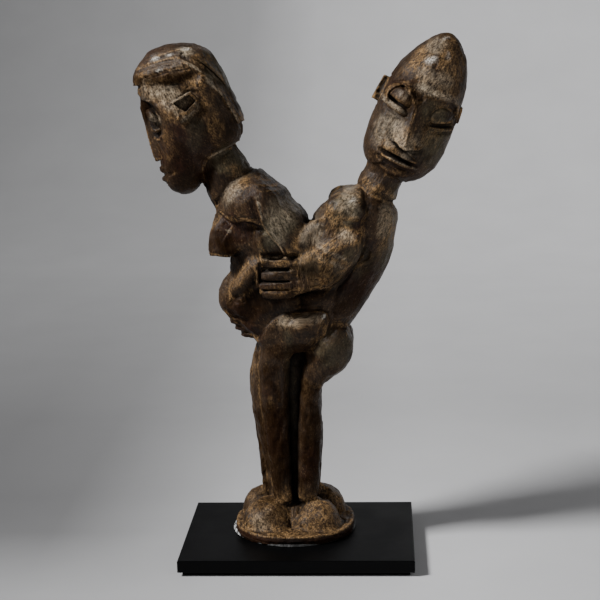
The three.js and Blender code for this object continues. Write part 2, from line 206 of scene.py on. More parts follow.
class Slab:
    """An outline in the viewer's plane, run through from front to back."""

    def __init__(self, outline, front, back):
        self.outline = outline
        self.middle = (front + back) / 2
        self.half = (back - front) / 2
        points = np.array(outline)
        self.low = np.array((points[:, 0].min(), front, points[:, 1].min()))
        self.high = np.array((points[:, 0].max(), back, points[:, 1].max()))

    def distance(self, box):
        x, y, z = box
        x, z = np.broadcast_arrays(x, z)
        best = np.full(x.shape, np.inf, np.float32)
        inside = np.zeros(x.shape, bool)
        for (ax, az), (bx, bz) in zip(self.outline, self.outline[1:] + self.outline[:1]):
            run_x, run_z = bx - ax, bz - az
            held = np.clip(((x - ax) * run_x + (z - az) * run_z) / (run_x ** 2 + run_z ** 2), 0, 1)
            best = np.minimum(best, np.hypot(x - ax - held * run_x, z - az - held * run_z))
            if run_z:
                crossing = (az > z) != (bz > z)
                inside ^= crossing & (x < ax + run_x * (z - az) / run_z)
        flat = np.where(inside, -best, best)
        return np.maximum(flat, np.abs(y - self.middle) - self.half)


class Block:
    """A box with slightly softened edges, turned and placed by its frame."""

    def __init__(self, width, depth, height, frame, soft=0.5):
        self.half = np.array((width, depth, height)) / 2 - soft
        self.soft = soft
        self.frame = frame
        reach = np.linalg.norm(self.half + soft)
        place = np.array(frame.translation)
        self.low = place - reach
        self.high = place + reach

    def distance(self, box):
        gaps = [np.abs(part) - half for part, half in zip(local_places(self.frame, box), self.half)]
        outside = np.sqrt(sum(np.maximum(gap, 0) ** 2 for gap in gaps))
        inside = np.minimum(np.maximum(np.maximum(gaps[0], gaps[1]), gaps[2]), 0)
        return outside + inside - self.soft


class Both:
    """What two shapes share, or, with other cut away, what is left of the first. soft rounds the
    edge between them."""

    def __init__(self, shape, other, cut=False, soft=0.0):
        self.shape = shape
        self.other = other
        self.sign = -1 if cut else 1
        self.soft = soft
        self.low = shape.low
        self.high = shape.high

    def distance(self, box):
        return -soft_min(-self.shape.distance(box), -self.sign * self.other.distance(box), self.soft)


class Plane:
    """All that lies behind a flat cut, given by a place on it and the way it faces."""

    def __init__(self, place, facing, frame=None):
        self.place = place
        self.facing = facing
        self.frame = frame

    def distance(self, box):
        places = local_places(self.frame, box)
        return sum(way * (part - here) for way, part, here in zip(self.facing, places, self.place) if way)


class Hull:
    """A block with flat sides that bulges nowhere inwards: its corners, and three for each side."""

    def __init__(self, corners, sides, soft=0.5, frame=None):
        corners = np.array(corners, float)
        middle = corners.mean(0)
        self.frame = frame
        self.soft = soft
        self.planes = []
        for side in sides:
            a, b, c = corners[list(side)]
            facing = np.cross(b - a, c - a)
            facing /= np.linalg.norm(facing)
            if facing @ (middle - a) > 0:
                facing = -facing
            self.planes.append((facing, facing @ a))
        if frame is not None:
            corners = np.array([frame @ Vector(corner) for corner in corners])
        self.low = corners.min(0)
        self.high = corners.max(0)

    def distance(self, box):
        x, y, z = local_places(self.frame, box)
        worst = None
        for facing, reach in self.planes:
            gap = facing[0] * x + facing[1] * y + facing[2] * z - reach
            worst = gap if worst is None else -soft_min(-worst, -gap, self.soft)
        return worst.astype(np.float32)


def ramp(value, start, end):
    """Nought up to start, one from end, and a smooth rise between."""
    t = np.clip((value - start) / (end - start), 0, 1)
    return t * t * (3 - 2 * t)


def beside(line, x, z):
    """How far places lie from a drawn line, how far to its left, and the line's depth nearest them."""
    best = np.full(x.shape, np.inf, np.float32)
    left = np.zeros(x.shape, np.float32)
    depth = np.zeros(x.shape, np.float32)
    for (ax, az, *start), (bx, bz, *end) in zip(line, line[1:]):
        run_x, run_z = bx - ax, bz - az
        length = math.hypot(run_x, run_z)
        held = np.clip(((x - ax) * run_x + (z - az) * run_z) / length ** 2, 0, 1)
        gap = np.hypot(x - ax - held * run_x, z - az - held * run_z)
        nearer = gap < best
        best = np.where(nearer, gap, best)
        left = np.where(nearer, ((z - az) * run_x - (x - ax) * run_z) / length, left)
        if start:
            depth = np.where(nearer, start[0] + held * (end[0] - start[0]), depth)
    return best, left, depth


class Mark:
    """Something drawn on the wood in the X and Z plane of a frame. Its amount sinks the surface.
    It reaches only what lies further than near from the middle plane, on both sides of the couple
    or, in a head's own frame, on the face's side."""

    def __init__(self, points, reach, frame, near, over):
        self.frame = frame
        self.near = near
        self.over = over
        points = np.array([(x, z) for x, z, *rest in points])
        low, high = points.min(0) - reach, points.max(0) + reach
        if frame is None:
            self.low = np.array((low[0], GRID_LOW[1], low[1]))
            self.high = np.array((high[0], GRID_HIGH[1], high[1]))
        else:
            corners = [(x, y, z) for x in (low[0], high[0]) for y in (-32, -near + over) for z in (low[1], high[1])]
            corners = np.array([frame @ Vector(corner) for corner in corners])
            self.low = corners.min(0)
            self.high = corners.max(0)

    def depth(self, x, z):
        raise NotImplementedError

    def amount(self, box):
        x, y, z = local_places(self.frame, box)
        x, z = np.broadcast_arrays(x, z)
        out = np.abs(y) if self.frame is None else -y
        return self.depth(x, z) * ramp(out, self.near, self.near + self.over)


class Area(Mark):
    """An outline sunk by a depth, or raised by a depth below nought, with edges as wide as soft."""

    def __init__(self, outline, sink, soft, frame=None, near=0.0, over=3.0):
        super().__init__(outline, soft, frame, near, over)
        self.outline = outline
        self.sink = sink
        self.soft = soft

    def depth(self, x, z):
        best, left, deep = beside(self.outline + self.outline[:1], x, z)
        inside = np.zeros(x.shape, bool)
        for (ax, az), (bx, bz) in zip(self.outline, self.outline[1:] + self.outline[:1]):
            if az != bz:
                crossing = (az > z) != (bz > z)
                inside ^= crossing & (x < ax + (bx - ax) * (z - az) / (bz - az))
        within = np.where(inside, best, -best)
        return self.sink * ramp(within, -self.soft / 2, self.soft / 2)


class Line(Mark):
    """A groove along a drawn line, each of its points with its own depth; below nought, a ridge."""

    def __init__(self, line, width, depth=None, frame=None, near=0.0, over=3.0):
        super().__init__(line, width, frame, near, over)
        self.line = line if depth is None else [(x, z, d * depth) for x, z, d in line]
        self.width = width

    def depth(self, x, z):
        gap, left, deep = beside(self.line, x, z)
        share = np.maximum(1 - gap / self.width, 0)
        return deep * share * (2 - share) * ramp(share, 0, 0.5)


class Ledge(Mark):
    """A step along a drawn line: the wood on its left sinks by a depth and comes back over reach."""

    def __init__(self, line, sink, reach, crisp=0.7, frame=None, near=0.0, over=3.0):
        super().__init__(line, reach, frame, near, over)
        self.crisp = crisp
        self.line = line
        self.sink = sink
        self.reach = reach

    def depth(self, x, z):
        gap, left, deep = beside(self.line, x, z)
        beyond = np.sqrt(np.maximum(gap * gap - left * left, 0))
        share = ramp(left, -self.crisp, self.crisp) * (1 - ramp(gap, self.crisp, self.reach))
        return self.sink * share * (1 - ramp(beyond, 0, self.reach / 2))


def soft_min(a, b, blend):
    """The nearer of two distances, with a fillet about as wide as blend."""
    if not blend:
        return np.minimum(a, b)
    share = np.maximum(blend - np.abs(a - b), 0) / blend
    return np.minimum(a, b) - share * share * blend / 4


class Carving:
    """The block of wood as a grid of distances to its surface."""

    def __init__(self):
        self.shape = tuple(int(n) for n in np.ceil((GRID_HIGH - GRID_LOW) / STEP) + 1)
        self.value = np.full(self.shape, FAR, np.float32)

    def window(self, shape, pad):
        first = np.floor((shape.low - pad - GRID_LOW) / STEP).astype(int)
        last = np.ceil((shape.high + pad - GRID_LOW) / STEP).astype(int) + 1
        first = np.clip(first, 0, self.shape)
        last = np.clip(last, 0, self.shape)
        cells = tuple(slice(a, b) for a, b in zip(first, last))
        box = []
        for i in range(3):
            line = GRID_LOW[i] + STEP * np.arange(first[i], last[i])
            box.append(line.astype(np.float32).reshape([-1 if j == i else 1 for j in range(3)]))
        return cells, box

    def add(self, shape, blend=2.0):
        cells, box = self.window(shape, blend + 4)
        self.value[cells] = soft_min(self.value[cells], shape.distance(box), blend)

    def cut(self, shape, blend=0.6):
        cells, box = self.window(shape, blend + 4)
        self.value[cells] = -soft_min(-self.value[cells], shape.distance(box), blend)

    def shift(self, mark):
        cells, box = self.window(mark, STEP)
        self.value[cells] += mark.amount(box)

    def read(self, points):
        """The distance at any points, between the grid's own."""
        place = np.clip((points - GRID_LOW) / STEP, 0, np.array(self.shape) - 1.001)
        k = place.astype(np.int32)
        t = (place - k).astype(np.float32)
        total = np.zeros(len(points), np.float32)
        for corner in np.ndindex(2, 2, 2):
            weight = np.prod(np.where(corner, t, 1 - t), axis=1)
            i, j, m = (k + corner).T
            total += weight * self.value[i, j, m]
        return total

    def slope(self, points, reach=None):
        """The outward direction of the surface near points."""
        reach = reach or STEP
        parts = []
        for axis in np.eye(3):
            parts.append(self.read(points + axis * reach) - self.read(points - axis * reach))
        slope = np.stack(parts, 1)
        return slope / np.maximum(np.linalg.norm(slope, axis=1)[:, None], 1e-6)


def surface(value):
    """The surface of a grid of distances as points and four-sided faces."""
    inside = value < 0
    count = np.zeros(tuple(n - 1 for n in value.shape), np.int8)
    for corner in np.ndindex(2, 2, 2):
        count += inside[tuple(slice(c, n - 1 + c) for c, n in zip(corner, value.shape))]
    cells = np.argwhere((count > 0) & (count < 8))
    number = np.full(count.shape, -1, np.int32)
    number[tuple(cells.T)] = np.arange(len(cells))
    total = np.zeros((len(cells), 3))
    crossings = np.zeros((len(cells), 1))
    for axis in range(3):
        others = [i for i in range(3) if i != axis]
        for offset in np.ndindex(2, 2):
            start = np.zeros(3, int)
            start[others] = offset
            end = start.copy()
            end[axis] = 1
            a = value[tuple((cells + start).T)]
            b = value[tuple((cells + end).T)]
            crossed = (a < 0) != (b < 0)
            share = np.where(crossed, a / np.where(crossed, a - b, 1), 0)[:, None]
            total += np.where(crossed[:, None], start + share * (end - start), 0)
            crossings += crossed[:, None]
    points = GRID_LOW + STEP * (cells + total / crossings)
    faces = []
    for axis in range(3):
        before = tuple(slice(0, -1) if i == axis else slice(None) for i in range(3))
        after = tuple(slice(1, None) if i == axis else slice(None) for i in range(3))
        edges = np.argwhere(inside[before] != inside[after])
        edges = edges[(edges[:, [i for i in range(3) if i != axis]] > 0).all(1)]
        first, second = (np.eye(3, dtype=int)[(axis + turn) % 3] for turn in (1, 2))
        ring = [number[tuple((edges - back).T)] for back in (first + second, second, 0 * first, first)]
        quads = np.stack(ring, 1)
        leaving = inside[tuple(edges.T)]
        faces.append(np.where(leaving[:, None], quads, quads[:, ::-1]))
    return points, np.concatenate(faces)


# The couple's forms

def turned(x, y, z, clockwise=0.0):
    """A turn about the front-to-back axis, clockwise as the viewer sees it, and a place."""
    return Matrix.Translation((x, y, z)) @ Matrix.Rotation(clockwise, 4, "Y")


def prism(near_section, far_section, soft=1.2):
    """A block between two four-cornered sections, each corner an x, y, z."""
    corners = list(near_section) + list(far_section)
    sides = [(0, 1, 2), (4, 5, 6)] + [(k, (k + 1) % 4, k + 4) for k in range(4)]
    return Hull(corners, sides, soft)


def carve_man_head(wood):
    upright = Matrix.Translation(MAN_TIP) @ Matrix.Rotation(MAN_LEAN, 4, "Y")
    face = upright @ Matrix.Rotation(MAN_TURN, 4, "Z")
    skull = [
        at(1.4, -2, 0.3, 3.4, 4.4, 4, 5), at(1.6, 0, -11, 12.6, 14, 11.5, 13), at(1, 0, -24, 18.6, 20, 17.5, 21),
        at(0, 0, -36, 19.8, 21.6, 18.6, 25), at(0, 0, -48, 20.8, 22.6, 17.8, 25),
        at(0, 0, -60, 21.2, 22.4, 17.5, 21), at(0, 0, -71, 19.6, 20.4, 16.5, 15),
        at(1, 0, -84.5, 12, 12, 11, 10),
    ]
    wood.add(Form(skull, edge=2.2, ends=(0.07, 0.1), frame=upright), 1.5)
    wood.add(Block(5.6, 9, 14, upright @ turned(-21.3, 3, -39.8, 0.12)), 0.6)
    wood.cut(Block(2.6, 6, 9, upright @ turned(-22.4, -2, -38, 0.12)), 0.3)
    wood.add(Block(5, 8, 9, upright @ turned(21.2, 3, -38.4, -0.1)), 0.8)
    carve_man_brow(wood, face)
    rim = [(-19.3, -43.4), (-19.9, -39.1), (-17.6, -34.9), (-13.8, -32.7), (-9.9, -33.8), (-6.2, -37.3), (-3.4, -42.4)]
    carve_man_eye(wood, face, (-12.4, -15.2, -39.4), -0.44, 0.23, proud=-0.3)
    wood.shift(Line([(x, z, -1.3) for x, z in rim], 1.3, frame=face, near=4))
    carve_man_eye(wood, face, (12.2, -15, -42.4), 0.46, -0.26, deep=0.42, full=5.8, strip_half=1.2)
    carve_man_nose(wood, face)
    carve_man_mouth(wood, face)
    chin = [(-9, -77.5), (7, -77.5), (5, -83), (-5, -83)]
    wood.shift(Area(chin, -0.8, 2.5, frame=face, near=4))


def carve_man_brow(wood, face):
    dome = [(-10, -18), (-8, -24.5), (-2, -29), (7, -28.2), (13, -21), (12, -10), (4, -6), (-6, -9)]
    wood.shift(Area(dome, -0.9, 7, frame=face, near=2))
    under_dome = [(-11, -22, 0), (-7, -27.4, 0.8), (-2, -30, 0.9), (7, -29, 0.7), (13, -24, 0)]
    wood.shift(Line(under_dome, 2.8, frame=face, near=2))
    ledge = [(-6.5, -30), (-3.1, -32.2), (0.5, -33.8), (5.5, -34), (10, -33), (14.4, -32.8), (18, -34.4), (20, -38)]
    wood.shift(Ledge(ledge[::-1], 1.7, 9, crisp=1.2, frame=face, near=2))
    band = [(x, z, -0.7) for x, z in ledge]
    wood.shift(Line([(x, z + 1.2, depth) for x, z, depth in band], 2.2, frame=face, near=2))


def carve_man_eye(wood, face, place, turn, tilt, deep=1.0, full=5.0, strip_half=1.8, proud=0.8):
    """A closed eye in a hollow under the brow: a full upper lid, a slit and a flat bar for a lower lid."""
    half = 8.0
    eye = face @ Matrix.Translation(place) @ Matrix.Rotation(turn, 4, "Z") @ Matrix.Rotation(tilt, 4, "Y")
    hollow = [
        at(-half - 0.8, 0, -1.5, 3, 3, 2.4 * deep), at(-half * 0.5, 0, 0, 5, 6.4, 3.4 * deep),
        at(0, 0, 0, 5.4, 7.4, 3.8 * deep), at(half * 0.5, 0, 0, 5.2, 6.6, 3.6 * deep),
        at(half + 0.8, 0, -1.5, 3.4, 3.4, 2.6 * deep),
    ]
    lid = [
        at(-half + 0.6, 2.2, -2, 3, 1.6, 2), at(-half * 0.5, 1.8, -0.6, 5, full - 0.9, 2.8, 4),
        at(0, 1.6, 0, 5.6, full, 3.4, 4), at(half * 0.5, 1.8, -0.6, 5, full - 0.9, 2.8, 4),
        at(half - 0.6, 2.2, -2, 3, 1.6, 2),
    ]
    strip = [
        at(-half - 0.8, 2.6, -5.2, 1.2, 1, 2.6), at(-half * 0.55, proud, -5.9, strip_half, strip_half, 2.7),
        at(half * 0.55, proud, -5.9, strip_half, strip_half, 2.7), at(half + 0.8, 2.2, -5.4, 1.2, 1, 2.6),
    ]
    below = Plane((0, 0, -2.8), (0, 0, -1), eye)
    wood.cut(Form(hollow, ends=(0.14, 0.14), frame=eye), 0.4)
    wood.add(Both(Form(lid, ends=(0.12, 0.12), frame=eye), below), 0.3)
    wood.add(Form(strip, edge=4, ends=(0.1, 0.1), frame=eye), 0.3)
    low = -6.7 - strip_half
    wood.shift(Line([(-half, low + 0.4, 0.4), (0, low, 1.3), (half, low + 0.4, 0.4)], 1.2, frame=eye, near=-3))


def carve_man_nose(wood, face):
    top, tip = (-4.2, -18.8, -37), (-2.0, -25, -63.2)
    corners = [
        top, tip, (-9.4, -17.4, -60.8), (8.6, -17.2, -60.2), (-6.6, -15, -38), (-0.4, -15, -36),
        (-8.8, -12, -61.5), (8, -12, -61),
    ]
    sides = [(0, 1, 2), (0, 1, 3), (1, 2, 3), (0, 4, 5), (4, 2, 6), (5, 3, 7), (4, 5, 6)]
    wood.add(Hull(corners, sides, 0.7, face), 1.0)
    wing = [at(5.4, -18, -60.4, 2, 2.4, 2.6), at(8.2, -17.2, -60.2, 1.6, 2, 2)]
    wood.add(Form(wing, ends=(0.5, 0.5), frame=face), 1.0)
    wood.shift(Line([(-11.5, -59, 0.3), (-8, -64, 0.8), (-1.5, -65.6, 0.5), (6.5, -63.4, 0.8), (10, -59, 0.3)], 1.8,
                    frame=face, near=4))


    beside_nose = [(-7.4, -43, 0.1), (-9.8, -49, 0.3), (-10.4, -54, 0.3), (-10, -59, 0.2)]
    wood.shift(Line(beside_nose, 3.2, frame=face, near=4))
    fold = [(-7.6, -62.6), (-13.7, -64.2), (-17.3, -63.8), (-20.5, -61)]
    wood.shift(Ledge(fold, 0.8, 7, crisp=0.6, frame=face, near=4))
    under_nose = [(-12, -62.6), (-7, -61.4), (6, -61.4), (9, -65), (4, -68), (-11, -67)]
    wood.shift(Area(under_nose, -1.0, 2.6, frame=face, near=4))


def carve_man_mouth(wood, face):
    upper = [
        at(-12.4, -14.2, -66.8, 1.4, 1.8, 2.8), at(-9.6, -15.8, -66.4, 1.9, 3.6, 3.6), at(-6, -16.8, -66.8, 1.8, 3.2, 4),
        at(-1.4, -17.2, -67.8, 1.5, 2.4, 3.8), at(3.5, -16.6, -68.6, 1.2, 1.8, 3.4), at(8.2, -14.8, -69.2, 0.8, 0.9, 2.6),
    ]
    lower = [
        at(-11, -14.2, -71.4, 0.9, 0.9, 2.6), at(-6, -16.6, -71.8, 1.2, 1.2, 3.6), at(0, -16.8, -72.3, 1.2, 1.2, 3.8),
        at(7.2, -14.8, -72.7, 0.9, 0.9, 2.8),
    ]
    opening = [(-12.4, -69.2, 0.6), (-9, -69.4, 2.2), (-3, -69.8, 2.8), (4, -70.5, 2.2), (8.6, -70.9, 0.6)]
    wood.add(Form(upper, edge=3.4, ends=(0.12, 0.12), frame=face), 0.4)
    wood.add(Form(lower, edge=3.4, ends=(0.1, 0.1), frame=face), 0.3)
    wood.shift(Line(opening, 1.3, frame=face, near=4))
    below = [(-11.4, -73, 0.4), (-5, -74.2, 1.3), (2, -74.8, 1.3), (8.2, -74.2, 0.4)]
    wood.shift(Line(below, 1.8, frame=face, near=4))


HAIR_EDGE = [
    (-92, 255.2), (-84, 255.2), (-81.5, 255.2), (-77.8, 254.8), (-70.2, 255.9), (-62.1, 256.9), (-54.1, 258.3),
    (-48.7, 259.5), (-44.4, 258.8), (-39.4, 254.8), (-35.6, 249.6), (-32.1, 243.6), (-29.6, 238.6), (-27.6, 234.2),
    (-24.5, 235.2), (-15, 236), (-15, 290), (-92, 290),
]
HAIR_DEEP = 34
HAIR_UNDER = [
    (-92, 234), (-82, 245), (-76.5, 252.4), (-62, 253.8), (-51, 255.4), (-50, 225), (-10, 225), (-10, 295), (-92, 295),
]
HAIR_RIDGE = [
    (-57.5, 269.5), (-52.2, 266.7), (-47, 263.5), (-42.4, 259.3), (-38.9, 255), (-35.2, 250), (-31.6, 244),
    (-29.1, 239), (-27.1, 235),
]
HAIR_SECOND = [(-49, 271, 0.3), (-43.2, 266.5, 1), (-39.1, 261.7, 1), (-36.1, 258, 1), (-33.2, 253.6, 0.3)]
HAIR_ROLL = [(-82, 262.6, 0.3), (-73.5, 265.6, 0.9), (-67, 267.6, 1), (-59, 268.7, 0.9), (-53, 269.2, 0.3)]


def carve_woman_head(wood):
    skull = [
        at(-57, 0, 270, 15, 12, 10), at(-57, 0, 260, 22, 18, 15), at(-57, 0, 252, 24, 22, 17.5),
        at(-57, 0, 244, 24.5, 25, 19.5), at(-57, 0, 235, 21.5, 27.8, 20), at(-57, 0, 226, 18, 28.2, 18.5),
        at(-58, 0, 217, 14.5, 18, 15), at(-59.5, 0, 206.5, 11.5, 12, 11.5), at(-60.5, 0, 195.3, 7.5, 8.5, 7.5),
    ]
    wood.add(Form(skull, edge=2.15, ends=(0.1, 0.1)), 0.6)
    temple = [(-46, 262), (-36, 256), (-28, 246), (-24, 236), (-27, 223), (-38, 223), (-44, 238), (-49, 254)]
    wood.shift(Area(temple, -2.4, 9, near=3))
    wood.shift(Line([(x, z - 1, -2.0) for x, z in HAIR_EDGE[1:9]], 7, near=2))
    above_ear = [(-60, 256, -0.6), (-53, 256, -1.6), (-47, 256, -2.2), (-43, 253.5, -1.8), (-38, 248, 0)]
    wood.shift(Line(above_ear, 12, near=2))
    carve_hair(wood)
    carve_woman_eyes(wood)
    carve_woman_profile(wood)
    outer = [
        (-62.2, 246.6), (-51.6, 252.2), (-47, 248), (-48, 243.8), (-56.2, 236.8), (-59.4, 237.4), (-57.9, 240.6),
    ]
    hollow = [(-60.8, 246.3), (-51.9, 250.9), (-48.3, 247.5), (-54.4, 241.6)]
    for side in (1, -1):
        wood.add(Slab(outer, *sorted((side * -14, side * -22.6))), 0.5)
        wood.cut(Slab(hollow, *sorted((side * -19, side * -30))), 0.3)
    wood.shift(Line([(-59, 234.8, 0.2), (-54, 237, 1), (-49, 242, 1), (-45, 247, 0.2)], 2.6, near=8))
    jaw = [(-27, 224.2), (-28, 223.5), (-36.9, 219.9), (-44.7, 214.6), (-47.2, 208.1), (-47.5, 200.4)]
    wood.shift(Ledge(jaw, 1.8, 10, near=-1))


def carve_woman_eyes(wood):
    """The hollows run round to the front of the face and leave the nose standing between them."""
    socket = [
        (-90, 247.5), (-80, 247), (-76.4, 246.4), (-72.7, 244.6), (-69.1, 240.8), (-67, 234.4), (-68.3, 229.4),
        (-71.3, 227), (-78, 229), (-90, 233),
    ]
    under_brow = [
        (-90, 247), (-80.5, 246.4), (-75.7, 245.2), (-72.9, 242), (-75.4, 239.3), (-74.5, 234.9), (-72.1, 229.5),
        (-74.8, 228), (-90, 232),
    ]
    lid = [
        at(-76.6, -8.2, 242.6, 1.4, 1.4, 3), at(-74.8, -9.2, 240.6, 2.8, 2.6, 4.4), at(-72.4, -9.6, 238, 3.2, 2.8, 4.6),
        at(-70.2, -8.8, 235.4, 1.6, 1.6, 3.4),
    ]
    lower = [at(-75.6, -7, 232.6, 1, 1, 2.6), at(-72.4, -8.6, 231, 1.6, 1.6, 3.4), at(-69, -9, 232, 1.2, 1.2, 2.6)]
    wood.shift(Area(socket, 3.4, 2.6, near=2.0, over=2.0))
    wood.shift(Area(under_brow, 3.6, 2.0, near=2.0, over=2.0))
    for side in (list, far_side):
        wood.add(Form(side(lid), ends=(0.2, 0.2)), 0.4)
        wood.add(Form(side(lower), ends=(0.25, 0.25)), 0.3)
    wood.shift(Line([(-70.1, 228.8, -0.4), (-71.3, 226.1, -0.6), (-72.6, 224.6, -0.2)], 1.4, near=5))


def carve_woman_profile(wood):
    corners = [
        (-82.8, 0, 243.5), (-75.4, 0, 212.8), (-70, -7.2, 215), (-70, 7.2, 215), (-77, -2.8, 244.5),
        (-77, 2.8, 244.5), (-62, -7, 218), (-62, 7, 218), (-66, 0, 245),
    ]
    sides = [(0, 1, 2), (0, 1, 3), (1, 2, 3), (0, 4, 5), (2, 6, 4), (3, 7, 5), (6, 7, 8)]
    wood.add(Hull(corners, sides, 0.6), 0.8)
    wood.shift(Line([(-76, 226, 0.2), (-70.6, 220.5, 0.9), (-68.8, 215.4, 0.8), (-72, 212, 0.3)], 1.7, near=4))
    look = Matrix.Translation(WOMAN_FACE) @ Matrix.Rotation(-WOMAN_NOD, 4, "Y")
    look = look @ Matrix.Rotation(-math.pi / 2, 4, "Z")
    for down, thick in ((37.2, 2.3), (42.6, 1.9)):
        lip = [
            at(-8.6, -16.4, -down - 0.5, 1.2, 1.2, 2.6, 3), at(-3.4, -20.6, -down, thick, thick, 2.8, 3),
            at(3.4, -20.6, -down, thick, thick, 2.8, 3), at(8.6, -16.4, -down - 0.5, 1.2, 1.2, 2.6, 3),
        ]
        wood.add(Form(lip, edge=2.6, frame=look), 0.5)
    wood.shift(Line([(-10, -40, 0.4), (0, -40, 0.7), (10, -40, 0.4)], 1.2, frame=look, near=6))


def carve_hair(wood):
    cap = [
        at(-57, 0, 277.2, 14.5, 10.5, 11), at(-57, 0, 270, 21.6, 16.2, 17), at(-57, 0, 262, 27.4, 20.6, 21.4),
        at(-57, 0, 254, 28.4, 24.2, 22.6), at(-57, 0, 246, 27, 27.8, 22.2), at(-57, 0, 238, 26, 31, 21.6),
        at(-57, 0, 228, 25, 34, 20.4),
    ]
    undercut = Both(Form(cap, ends=(0.14, 0.04)), Slab(HAIR_UNDER, -HAIR_DEEP, HAIR_DEEP), soft=12.0)
    wood.add(Both(undercut, Slab(HAIR_EDGE, -HAIR_DEEP, HAIR_DEEP)), 0.3)
    wood.shift(Line(HAIR_ROLL, 1.5, near=4))
    wood.shift(Line([(x + 3, z - 4.6, 0.6 * depth) for x, z, depth in HAIR_ROLL], 1.3, near=4))
    wood.shift(Line([(x + 6, z + 4.4, 0.6 * depth) for x, z, depth in HAIR_ROLL], 1.5, near=4))
    wood.shift(Line([(x, z, -0.7) for x, z in HAIR_RIDGE], 1.4, near=4))
    wood.shift(Line([(x + 2.2, z + 1.4, 1.3) for x, z in HAIR_RIDGE], 1.9, near=4))
    wood.shift(Line([(x, z, -0.8 * depth) for x, z, depth in HAIR_SECOND], 1.4, near=4))
    wood.shift(Line([(x + 2, z + 1.4, 0.8 * depth) for x, z, depth in HAIR_SECOND], 1.6, near=4))


def carve_woman_body(wood):
    neck = [
        at(-43, 0, 220, 12.5, 13, 12.6), at(-38.5, 0, 210, 13.4, 13.4, 12.2), at(-33.5, 0, 200, 13.8, 13.8, 12.4),
        at(-27, 0, 188, 14, 14, 13),
    ]
    trunk = [
        at(-19, 0, 208.5, 8, 9, 12), at(-21, 0, 199, 17, 15.5, 19), at(-20, 0, 189, 21.5, 19.6, 22.5),
        at(-18, 0, 178, 23, 25.4, 21.5), at(-15, 0, 166, 21, 26, 19), at(-14, 0, 154, 21.5, 24, 17),
        at(-13, 0, 142, 24, 22, 17), at(-12, 0, 130, 23, 22, 18), at(-10, 0, 118, 15, 22, 18),
        at(-8, 0, 106, 12, 18, 16),
    ]
    belly = [at(-25, 0, 150, 10, 8, 11), at(-27, 0, 138, 15.5, 12, 15), at(-26, 0, 122, 12.5, 10, 13)]
    breast = [at(-29, -8, 192, 9, 9, 8), at(-33.5, -9, 176, 11, 14, 9), at(-38, -9, 159, 8.5, 15, 8)]
    under_breast = [(-56, 150), (-56, 163), (-41, 162.6), (-34, 161.8), (-31, 165), (-25, 168), (-18, 169), (-18, 150)]
    wood.add(Form(trunk, edge=2.4, ends=(0.14, 0.1)), 1.0)
    wood.add(Form(neck), 0.8)
    wood.add(Form(belly, ends=(0.3, 0.4)), 3.0)
    for shape in (breast, far_side(breast)):
        wood.add(Both(Form(shape, edge=2.4, ends=(0.3, 0.08)), Slab(under_breast, -30, 30), cut=True), 2.0)
    for side in (list, far_side):
        carve_woman_arm(wood, side)
    for k in range(3):
        x = -31.6 + k * 3.3
        z = 123.4 - k * 3.8
        finger = [at(x - 5.6, 2, z, 1.8, 1.8, 5), at(x, 2, z - 0.4, 2.4, 2.4, 9), at(x + 8, 2, z, 2.6, 2.6, 9)]
        wood.add(Form(finger, edge=2.8, ends=(0.2, 0.2)), 0.5)


def carve_woman_arm(wood, side):
    upper = [
        at(-24, -14, 203, 8, 9, 8), at(-19, -17.5, 191, 10, 12, 8), at(-11, -18, 176, 9, 12, 6.5),
        at(-5, -16, 163, 8, 9, 6),
    ]
    chest = [at(-30, -13, 199, 6, 6, 7), at(-27, -16.5, 190, 8, 8, 6.5), at(-27, -16, 184, 8, 7, 5)]
    fore = [at(-16, -16, 160, 5, 5, 5), at(-24, -16, 150.5, 5, 5, 5), at(-31.5, -13.5, 139.5, 5, 5, 5)]
    hand = [at(-30, -11.5, 144, 5, 5, 4.6), at(-28, -13, 136, 6, 6, 4.8), at(-25, -11, 127, 5, 5, 4.6)]
    wood.add(Form(side(chest), edge=2.3, ends=(0.3, 0.1)), 3.0)
    wood.add(Form(side(upper), edge=2.3, ends=(0.3, 0.2)), 4.0)
    wood.add(Form(side(fore)), 2.5)
    wood.add(Form(side(hand), ends=(0.4, 0.4)), 3.0)


def cut_woman_marks(wood):
    """The carved steps, hollows and ridges of the woman's trunk and arms, drawn from the side."""
    neck_base = [(-38, 190), (-36.9, 193.7), (-32.3, 201.8), (-25.1, 205.4), (-19.6, 208.6)]
    wood.shift(Ledge(neck_base, 1.3, 7, near=3))
    under_chest = [(-17.6, 180.6), (-19, 181.4), (-24.6, 182.4), (-31, 181), (-36.4, 184.6)]
    wood.shift(Ledge(under_chest, 3.4, 15, near=5))
    arm_edge = [(-4.5, 164.4), (-6, 168.3), (-9.7, 172.8), (-13.9, 178.3), (-15.9, 183.8), (-17.8, 192)]
    wood.shift(Ledge(arm_edge, 1.4, 9, near=6))
    wood.shift(Line([(x + 0.6, z, -0.7) for x, z in arm_edge], 1.3, near=6))
    thumb = [(-17.4, 180, -0.8), (-18.2, 174.7, -1.6), (-17, 168, -2), (-15, 161.5, -2)]
    wood.shift(Line(thumb, 3.8, near=8))
    behind_fingers = [(-16, 164.6), (-6, 164.6), (-1.4, 162.6), (-6, 161.4), (-15, 161.6)]
    wood.shift(Area(behind_fingers, 0.8, 2.0, near=8))
    forearm_low = [(-19, 156.6), (-20.5, 152.8), (-28, 144.4), (-34.8, 137)]
    wood.shift(Ledge(forearm_low, 1.0, 8, near=5))
    forearm_top = [(-36, 146), (-30.6, 152.6), (-25.4, 160.4), (-22, 166)]
    wood.shift(Ledge(forearm_top, 0.7, 7, crisp=1.2, near=5))
    wood.shift(Line([(-32.5, 133, -0.4), (-28.6, 137.4, -1.6), (-24.2, 134.4, -0.4)], 3.0, near=5))
    wood.shift(Line([(-37, 131, 0.6), (-33, 127, 1.4), (-27, 126, 1), (-21, 128, 0.3)], 2.4, near=3))


